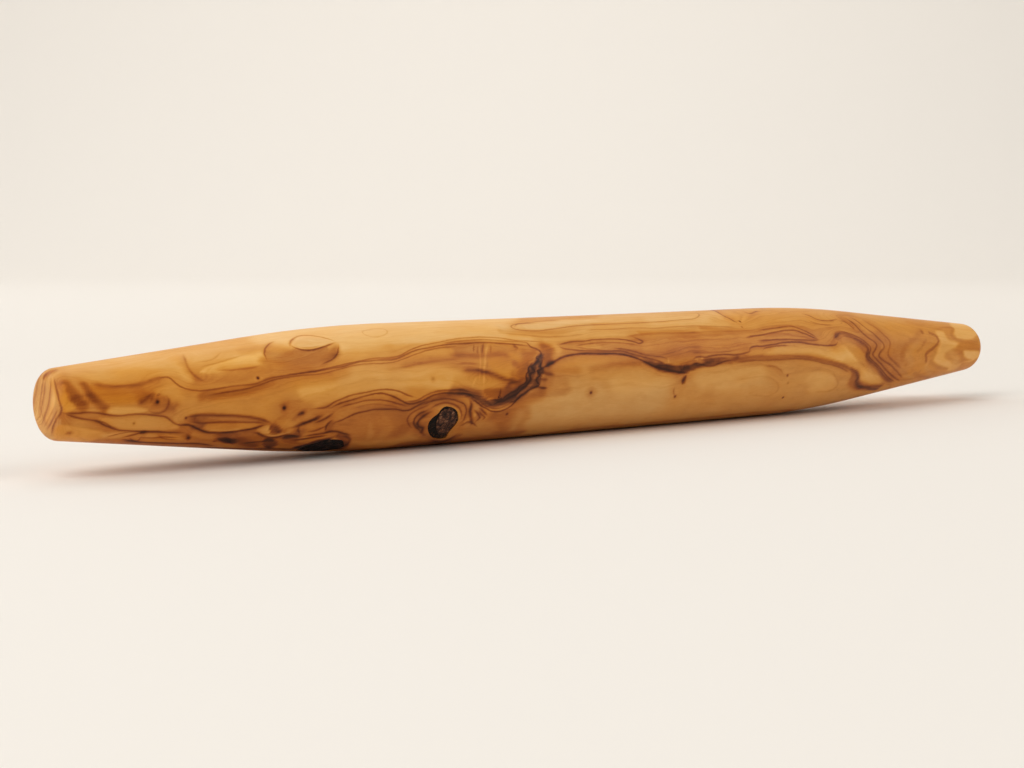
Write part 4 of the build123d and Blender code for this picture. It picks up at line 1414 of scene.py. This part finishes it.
def lay_tones(mesh, paths):
    """Stores the tone, the warmth, the ring strength and the age of the wood."""
    places = vertices_of(mesh)
    strayed = places + stray(places)
    pixels = pixels_of(strayed)
    toward = ((CAMERA_PLACE - places) * outward(places)).sum(1) > 0
    tone = np.full(len(places), BASE_TONE)
    warmth = np.full(len(places), BASE_WARMTH)
    rings = np.full(len(places), BASE_RINGS)
    for patch in TONES.values():
        if "outline" in patch:
            outline = smooth_line(patch["outline"], 3, closed=True)[:-1]
            reach = patch["edge"]
            box = (pixels > outline.min(0) - reach).all(1) & (pixels < outline.max(0) + reach).all(1)
            near = np.flatnonzero(box & toward)
            cover = ease(-reach / 2, reach / 2, inside(outline, pixels[near]))
        else:
            path = on_wood(patch["points"], patch["far_side"])
            reach = patch["width"] * (1 + patch["soft"])
            low, high = path.min(0) - reach, path.max(0) + reach
            near = np.flatnonzero(((strayed > low) & (strayed < high)).all(1))
            signed, share = beside(path, strayed[near])
            cover = 1 - ease(patch["width"] * (1 - patch["soft"]), reach, np.abs(signed))
        cover = cover * patch["cover"]
        tone[near] += (patch["tone"] - tone[near]) * cover
        warmth[near] += (patch["warmth"] - warmth[near]) * cover
        if patch["rings"] is not None:
            rings[near] += (patch["rings"] - rings[near]) * cover
    lay_shades(places, tone, paths)
    angle = np.degrees(np.arctan2(places[:, 2], -places[:, 1]))
    hidden = ease(0, 1, (np.abs(angle - 6) - 88) / 14)
    hidden = np.maximum(hidden, ease(HALF_LENGTH - 5, HALF_LENGTH - 1, places[:, 0]))
    rings = np.maximum(rings, 0.82 * hidden)
    kept_on(mesh, "tones", np.stack([tone, warmth, rings, age_of(places)], axis=1))


def age_of(places):
    """The wood's age, which is its distance from the pith, bent to run along the lines."""
    pith = on_surface(0, PITH_ANGLE) * PITH_DISTANCE

    def plain(points):
        return np.hypot(points[..., 1] - pith[1], points[..., 2] - pith[2])

    guides, pushes = [], []
    for figure in LINES.values():
        if figure["closed"] or len(figure["points"]) < 4:
            continue
        path = on_wood(figure["points"], figure["far_side"])[::6]
        age = plain(path)
        guides.append(path)
        pushes.append(age.mean() - age)
    guides, pushes = np.vstack(guides), np.concatenate(pushes)
    squeeze = np.array((1 / 22, 1 / 8, 1 / 8))

    def likeness(a, b):
        a, b = a * squeeze, b * squeeze
        gap = (a ** 2).sum(1)[:, None] + (b ** 2).sum(1)[None] - 2 * a @ b.T
        return np.exp(-np.sqrt(np.maximum(gap, 0) + 0.02))

    weights = np.linalg.solve(likeness(guides, guides) + 0.08 * np.eye(len(guides)), pushes)
    ages = plain(places)
    for start in range(0, len(places), 20000):
        part = slice(start, start + 20000)
        ages[part] += likeness(places[part], guides) @ weights
    return ages


def darkness_of_spots(wood, place, uneven):
    """How dark the small spots make the wood, from 0 to 1."""
    bare = None
    for mark in SPOTS.values():
        centre = on_surface(*mark["place"]) if mark["far_side"] else seen_at([mark["place"]])[0]
        centre[2] += bend(centre)
        sockets = {0: place, 1: tuple(centre)}
        away = wood.node("ShaderNodeVectorMath", {"operation": "DISTANCE"}, sockets, out=1)
        ratio = away / mark["radius"] + uneven
        left = 1.0 - (-(ratio * ratio)).math("EXPONENT") * mark["dark"]
        bare = left if bare is None else bare * left
    return 1.0 - bare


def darkness_of_lines(wood, wander, patchy):
    """How dark the layers of lines make the wood, from 0 to 1."""
    bare = None
    for number in range(LAYERS):
        distance, dark, width, _ = wood.stored("lines_%d" % number)
        distance = distance + wander
        ratio = distance / width
        left = 1.0 - dark * patchy * (-(ratio * ratio)).math("EXPONENT")
        bare = left if bare is None else bare * left
    return 1.0 - bare


WOOD_STOPS = [
    (0.0, linear(246, 195, 120)),
    (0.25, linear(227, 162, 78)),
    (0.4, linear(212, 142, 61)),
    (0.55, linear(189, 112, 44)),
    (0.7, linear(147, 76, 30)),
    (0.85, linear(82, 41, 19)),
    (1.0, linear(27, 14, 9)),
]


def olive_wood():
    """Oiled olive wood: a ramp from pale to nearly black over tone, rings, lines and fibre."""
    wood = Finish("olive_wood")
    place = wood.place()
    tone, warmth, rings, age = wood.stored("tones")
    sway = wood.mottle(wood.place((0.25, 1, 1)), 0.35, 3.0) - 0.5
    fine = wood.mottle(wood.place((0.5, 1, 1)), 1.6, 2.0) - 0.5
    patchy = 0.62 + 0.6 * wood.mottle(wood.place((0.4, 1, 1)), 0.3, 2.0)
    lines = darkness_of_lines(wood, sway * 0.9 + fine * 0.28, patchy)
    spots = darkness_of_spots(wood, place, fine * 0.6)
    lines = 1.0 - (1.0 - lines) * (1.0 - spots)
    bent_age = age + sway * 2.2 + fine * 0.25
    spread = bent_age + (wood.mottle(place, 0.02) - 0.5) * 4.0
    band_place = wood.node("ShaderNodeCombineXYZ", {}, {0: spread})
    bands = wood.mottle(band_place, 0.16, 3.0, 0.6) - 0.5
    thin = wood.mottle(band_place, 0.9, 2.0, 0.6)
    thin_lines = ((thin - 0.5) * 5.0).math("MAXIMUM", 0.0).math("MINIMUM", 1.0)
    fibre = wood.mottle(wood.place((0.09, 1, 1)), 3.2, 2.0, 0.6) - 0.5
    cloud = wood.mottle(wood.place((0.5, 1, 1)), 0.09, 3.0) - 0.5
    along = wood.node("ShaderNodeSeparateXYZ", {}, {0: place})
    streak_place = wood.node("ShaderNodeCombineXYZ", {}, {0: bent_age, 1: along * 0.09})
    streaks = wood.mottle(streak_place, 0.7, 4.0, 0.6) - 0.5
    blush = wood.mottle(wood.place((0.35, 1, 1)), 0.22, 3.0) - 0.5
    depth = tone + bands * rings * 1.1 + thin_lines * rings * 0.28 + fibre * 0.1 + cloud * 0.1
    depth = (depth + streaks * 0.2).math("MAXIMUM", 0.0)
    warmth = warmth + blush * 0.9
    dark = depth + lines * (0.98 - depth)
    colour = wood.node("ShaderNodeValToRGB", {"stops": WOOD_STOPS}, {0: dark})
    warm = wood.node("ShaderNodeCombineXYZ", {}, {0: 1.0, 1: 1.0 - warmth * 0.12, 2: 1.0 - warmth * 0.55})
    colour = wood.node("ShaderNodeVectorMath", {"operation": "MULTIPLY"}, {0: colour, 1: warm})
    roughness = 0.4 + (wood.mottle(place, 0.12) - 0.5) * 0.12 + fibre * 0.1 + lines * 0.06
    bump = wood.node(
        "ShaderNodeBump", {}, {"Strength": 0.12, "Distance": 0.0002, "Height": fibre - lines * 0.8}
    )
    wood.surface(Base_Color=colour, Roughness=roughness, Normal=bump, Specular_IOR_Level=0.11)
    return wood.material


def knot_finish(name, stops, grain, roughness, middle=0.0, lean=0.0):
    """A dead knot's broken surface: flakes and cracks, paler by lean for each millimetre past the middle."""
    knot = Finish(name)
    place = knot.place()
    along = knot.node("ShaderNodeSeparateXYZ", {}, {0: place})
    flakes = knot.mottle(place, 0.5 * grain, 4.0, 0.62)
    grit = knot.mottle(place, 3.0 * grain, 3.0, 0.6)
    cracks = knot.node(
        "ShaderNodeTexVoronoi", {"feature": "DISTANCE_TO_EDGE"}, {"Vector": place, "Scale": 0.55 * grain})
    gap = (cracks * 5.0).math("MINIMUM", 1.0)
    height = flakes * 1.2 + grit * 0.35 - 0.275 + (along - middle) * lean
    colour = knot.node("ShaderNodeValToRGB", {"stops": stops}, {0: height * (0.72 + gap * 0.28)})
    bump = knot.node("ShaderNodeBump", {}, {"Strength": 0.6, "Distance": 0.0005, "Height": height + gap * 0.3})
    knot.surface(Base_Color=colour, Roughness=roughness + flakes * 0.2, Normal=bump, Specular_IOR_Level=0.15)
    return knot.material


BARK_STOPS = [
    (0.3, linear(20, 13, 9)),
    (0.47, linear(40, 27, 19)),
    (0.6, linear(86, 54, 34)),
    (0.75, linear(134, 84, 50)),
]
HEART_STOPS = [
    (0.28, linear(28, 16, 11)),
    (0.45, linear(74, 44, 31)),
    (0.58, linear(116, 76, 54)),
    (0.72, linear(164, 120, 90)),
]
LOWER_STOPS = [
    (0.32, linear(12, 8, 6)),
    (0.5, linear(28, 16, 11)),
    (0.62, linear(62, 37, 25)),
    (0.76, linear(120, 92, 76)),
]


def plain_finish(name, colour, roughness):
    finish = Finish(name)
    finish.surface(Base_Color=(*colour, 1), Roughness=roughness)
    return finish.material


def mesh_object(name, points, faces, sharp=50):
    """A smooth-shaded object from points of the straight pin in millimetres."""
    points = np.array(points, float)
    points[:, 2] += bend(points)
    mesh = bpy.data.meshes.new(name)
    mesh.from_pydata((points * MM).tolist(), [], faces)
    form = bmesh.new()
    form.from_mesh(mesh)
    bmesh.ops.recalc_face_normals(form, faces=form.faces)
    form.to_mesh(mesh)
    form.free()
    mesh.polygons.foreach_set("use_smooth", np.ones(len(mesh.polygons), bool))
    mesh.set_sharp_from_angle(angle=math.radians(sharp))
    piece = bpy.data.objects.new(name, mesh)
    bpy.context.scene.collection.objects.link(piece)
    return piece


def ring_faces(rings, sides, closed=False):
    """Faces between rings of points, numbered ring after ring."""
    side = np.arange(sides)
    after = (side + 1) % sides
    faces = []
    for ring in range(rings if closed else rings - 1):
        low, high = ring * sides, (ring + 1) % rings * sides
        faces += np.stack([low + side, low + after, high + after, high + side], axis=1).tolist()
    return faces


def capped(rings):
    """Points and faces of rings whose first and last are closed onto their middles."""
    sides = len(rings[0])
    points = np.vstack([*rings, rings[0].mean(0)[None], rings[-1].mean(0)[None]])
    first, last = len(points) - 2, len(points) - 1
    faces = ring_faces(len(rings), sides)
    end = (len(rings) - 1) * sides
    for a in range(sides):
        b = (a + 1) % sides
        faces.append((first, b, a))
        faces.append((last, end + a, end + b))
    return points, faces


def turned_wood():
    """The whole turned surface as one fine net of points."""
    at = np.linspace(0, OUTLINE_LENGTHS[-1], STATIONS + 2)[1:-1]
    x = np.interp(at, OUTLINE_LENGTHS, OUTLINE[:, 0])
    radius = np.interp(at, OUTLINE_LENGTHS, OUTLINE[:, 1])
    turn = np.arange(SIDES) * 2 * math.pi / SIDES
    rings = [
        np.stack([np.full(SIDES, place), -r * np.cos(turn), r * np.sin(turn)], axis=1)
        for place, r in zip(x, radius)
    ]
    points, faces = capped(rings)
    points[-2:, 0] = (-HALF_LENGTH, HALF_LENGTH)
    return mesh_object("turned_wood", points, faces)


def spoke(angle):
    """The direction straight out of the pin at an angle."""
    turn = math.radians(angle)
    return np.array((0, -math.cos(turn), math.sin(turn)))


def root_of(knot):
    """The point deep in the wood that a branch grew from."""
    slant, bearing = math.radians(knot["slant"]), math.radians(knot["bearing"])
    out = spoke(knot["angle"])
    lean = np.array((1, 0, 0)) * math.cos(bearing) + spoke(knot["angle"] + 90) * math.sin(bearing)
    heading = out * math.cos(slant) + lean * math.sin(slant)
    return out * BARREL_RADIUS + np.array((knot["place"], 0, 0)) - heading * knot["depth"]


def even_ring(curve, sides):
    """A closed line as evenly spaced points."""
    lengths = np.concatenate([[0], np.cumsum(np.linalg.norm(np.diff(curve, axis=0), axis=1))])
    at = np.linspace(0, lengths[-1], sides, endpoint=False)
    return np.stack([np.interp(at, lengths, curve[:, k]) for k in range(3)], axis=1)


KNOT_SIDES = 96


def front_ring(outline):
    """A traced outline of the front knot on the surface, started at its highest point."""
    ring = even_ring(on_wood(outline, closed=True), KNOT_SIDES)
    return np.roll(ring, -int(ring[:, 2].argmax()), axis=0)


def lower_ring():
    """The lower knot's outline: an oval along its branch, with a slight stray."""
    bearing = math.radians(LOWER_KNOT["bearing"])
    turn = np.arange(KNOT_SIDES) * 2 * math.pi / KNOT_SIDES
    stray = 1 + LOWER_KNOT_STRAY / LOWER_KNOT_HALF_WIDTH * (np.sin(3 * turn + 1) + 0.6 * np.sin(7 * turn)) / 2
    along = LOWER_KNOT_HALF_LENGTH * np.cos(turn) * stray
    across = LOWER_KNOT_HALF_WIDTH * np.sin(turn) * stray
    x = LOWER_KNOT["place"] + along * math.cos(bearing) - across * math.sin(bearing)
    up = along * math.sin(bearing) + across * math.cos(bearing)
    return on_surface(x, LOWER_KNOT["angle"] + np.degrees(up / BARREL_RADIUS))


def settled(points, sink):
    """Points moved straight in or out to lie a little below the turned surface."""
    radius = radius_at(points[:, 0]) - sink
    scale = radius / np.hypot(points[:, 1], points[:, 2])
    return np.column_stack([points[:, 0], points[:, 1] * scale, points[:, 2] * scale])


def rough(points, size, fine=1.0):
    """Uneven heights for a broken surface, in millimetres."""
    return np.array([
        size * (noise.fractal(Vector(p) * 0.55 * fine, 0.9, 2.1, 4) + 0.35 * noise.noise(Vector(p) * 2.3 * fine))
        for p in points
    ])


def down_to(ring, root, shares):
    """Rings that run from a ring towards a branch's root."""
    return [ring + (root - ring) * share for share in shares]


ROOT_SHARE = 0.94


def knot_pocket(name, ring, root):
    """The space that a dead branch takes in the wood."""
    above = [root + (ring - root) * 1.12]
    points, faces = capped(above + down_to(ring, root, (0.02, 0.3, 0.6, ROOT_SHARE)))
    return mesh_object(name, points, faces)


def knot_heart(name, ring, root, sink, roughness, dish=0.0):
    """A branch's heart, from its broken face on the surface down to its root."""
    middle = ring.mean(0)
    face = []
    for share in np.linspace(0.03, 0.985, 30):
        flat = settled(middle + (ring - middle) * share, 0)
        heights = sink + dish * (1 - share ** 2) - rough(flat, roughness)
        face.append(settled(flat, np.maximum(heights, 0.02)))
    face.append(settled(ring, sink + 0.05))
    points, faces = capped(face + down_to(ring, root, (0.1, 0.4, 0.7, ROOT_SHARE)))
    return mesh_object(name, points, faces)


def knot_bark(name, outer, inner, root, sink, roughness):
    """A tube of bark between the wood and a branch's heart, open to the surface."""
    face = []
    for share in np.linspace(0, 1, 14):
        flat = settled(outer + (inner - outer) * share, 0)
        heights = sink - rough(flat, roughness, 1.3) * math.sin(math.pi * max(0.1, share))
        face.append(settled(flat, np.maximum(heights, 0.05)))
    walls_in = down_to(inner, root, (0.1, 0.5, ROOT_SHARE))
    walls_out = down_to(outer, root, (ROOT_SHARE, 0.5, 0.1))
    rings = face + walls_in + walls_out
    return mesh_object(name, np.vstack(rings), ring_faces(len(rings), KNOT_SIDES, closed=True))


def cut_away(piece, cutter):
    """Takes one mesh out of another."""
    change = piece.modifiers.new("pocket", "BOOLEAN")
    change.operation = "DIFFERENCE"
    change.solver = "MANIFOLD"
    change.object = cutter
    done = bpy.data.meshes.new_from_object(piece.evaluated_get(bpy.context.evaluated_depsgraph_get()))
    piece.modifiers.clear()
    piece.data = done
    bpy.data.objects.remove(cutter)


def add_camera():
    """The photograph's camera."""
    right, up, forward = camera_axes()
    data = bpy.data.cameras.new("camera")
    data.lens = CAMERA_LENS
    data.sensor_width = SENSOR_WIDTH
    data.clip_start = 0.01
    camera = bpy.data.objects.new("camera", data)
    axes = Matrix(np.column_stack([right, up, -forward]).tolist()).to_4x4()
    camera.matrix_world = Matrix.Translation(Vector(CAMERA_PLACE * MM)) @ axes
    bpy.context.scene.collection.objects.link(camera)
    bpy.context.scene.camera = camera


def add_floor():
    """A pale sheet that the pin lies on, curved up into a backdrop far behind it."""
    front, back, side, sweep, top = -3.5, 1.9, 8.0, 1.2, 3.0
    bottom = LOW_CORNER[2] * MM
    profile = [(front, 0.0)]
    profile += [
        (back + sweep * math.sin(a), sweep * (1 - math.cos(a))) for a in np.linspace(0, math.pi / 2, 24)
    ]
    profile.append((back + sweep, top))
    _, _, forward = camera_axes()
    ahead = np.array((forward[0], forward[1])) / math.hypot(forward[0], forward[1])
    across = np.array((ahead[1], -ahead[0]))
    points, faces = [], []
    for distance, height in profile:
        for way in (-side, side):
            x, y = ahead * distance + across * way
            points.append((x, y, bottom + height))
    for i in range(len(profile) - 1):
        faces.append((2 * i, 2 * i + 1, 2 * i + 3, 2 * i + 2))
    mesh = bpy.data.meshes.new("floor")
    mesh.from_pydata(points, [], faces)
    mesh.polygons.foreach_set("use_smooth", np.ones(len(faces), bool))
    floor = bpy.data.objects.new("floor", mesh)
    bpy.context.scene.collection.objects.link(floor)
    floor.data.materials.append(plain_finish("paper", (0.87, 0.82, 0.75), 0.9))


def add_light(name, place, aim, size, power):
    """A soft light that faces a point."""
    data = bpy.data.lights.new(name, "AREA")
    data.shape = "RECTANGLE"
    data.size, data.size_y = size
    data.energy = power
    light = bpy.data.objects.new(name, data)
    light.location = place
    light.rotation_euler = (Vector(aim) - Vector(place)).to_track_quat("-Z", "Y").to_euler()
    bpy.context.scene.collection.objects.link(light)


def dress(piece, material, node):
    """Gives a piece its finish and its place in the part."""
    piece.data.materials.clear()
    piece.data.materials.append(material)
    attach(piece, BODY)
    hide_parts(node)


add_far_side()
front_root, lower_root = root_of(FRONT_KNOT), root_of(LOWER_KNOT)
bark_ring, heart_ring = front_ring(FRONT_BARK_OUTLINE), front_ring(FRONT_HEART_OUTLINE)
lower_outline = lower_ring()

pin = turned_wood()
cut_away(pin, knot_pocket("front_pocket", bark_ring, front_root))
cut_away(pin, knot_pocket("lower_pocket", lower_outline, lower_root))
pin.data.set_sharp_from_angle(angle=math.radians(50))
chance = np.random.default_rng(11)
paths = {name: path_of(figure, chance) for name, figure in LINES.items()}
draw_lines(pin.data, paths)
lay_tones(pin.data, paths)
dress(pin, olive_wood(), "pin_body")

bark = knot_bark("front_bark", bark_ring, heart_ring, front_root, BARK_SHRINKAGE, 0.3)
heart = knot_heart("front_heart", heart_ring, front_root, 0.1, 0.12)
lower = knot_heart("lower_stub", lower_outline, lower_root, 0.1, 0.15)
dress(bark, knot_finish("knot_bark", BARK_STOPS, 1.3, 0.6, -83, 0.022), "front_knot_bark")
dress(heart, knot_finish("knot_wood", HEART_STOPS, 1.1, 0.45), "front_knot_core")
dress(lower, knot_finish("lower_knot_wood", LOWER_STOPS, 0.9, 0.45), "lower_knot")

add_floor()
add_camera()
add_light("low_left", (-2.36, -0.25, 1.48), (0, 0, 0), (1.5, 1.5), 24)
add_light("high_left", (-1.39, -0.15, 2.42), (0, 0, 0), (1.5, 1.5), 20)
add_light("right", (1.85, -1.49, 1.48), (0, 0, 0), (1.6, 1.6), 24)
add_light("back", (0.46, 1.32, 2.42), (0, 0, 0), (1.9, 1.5), 17)
add_light("low_back", (-1.29, 1.99, 1.48), (0, 0, 0), (2.0, 1.5), 13)
add_light("wash", (0.9, 1.2, 1.9), (2.2, 2.7, 0.6), (2.5, 1.0), 13.4)
world = bpy.data.worlds.new("room")
world.use_nodes = True
world.node_tree.nodes["Background"].inputs["Color"].default_value = (1.0, 0.97, 0.93, 1)
world.node_tree.nodes["Background"].inputs["Strength"].default_value = 0.25
bpy.context.scene.world = world
bpy.context.scene.view_settings.view_transform = "Standard"
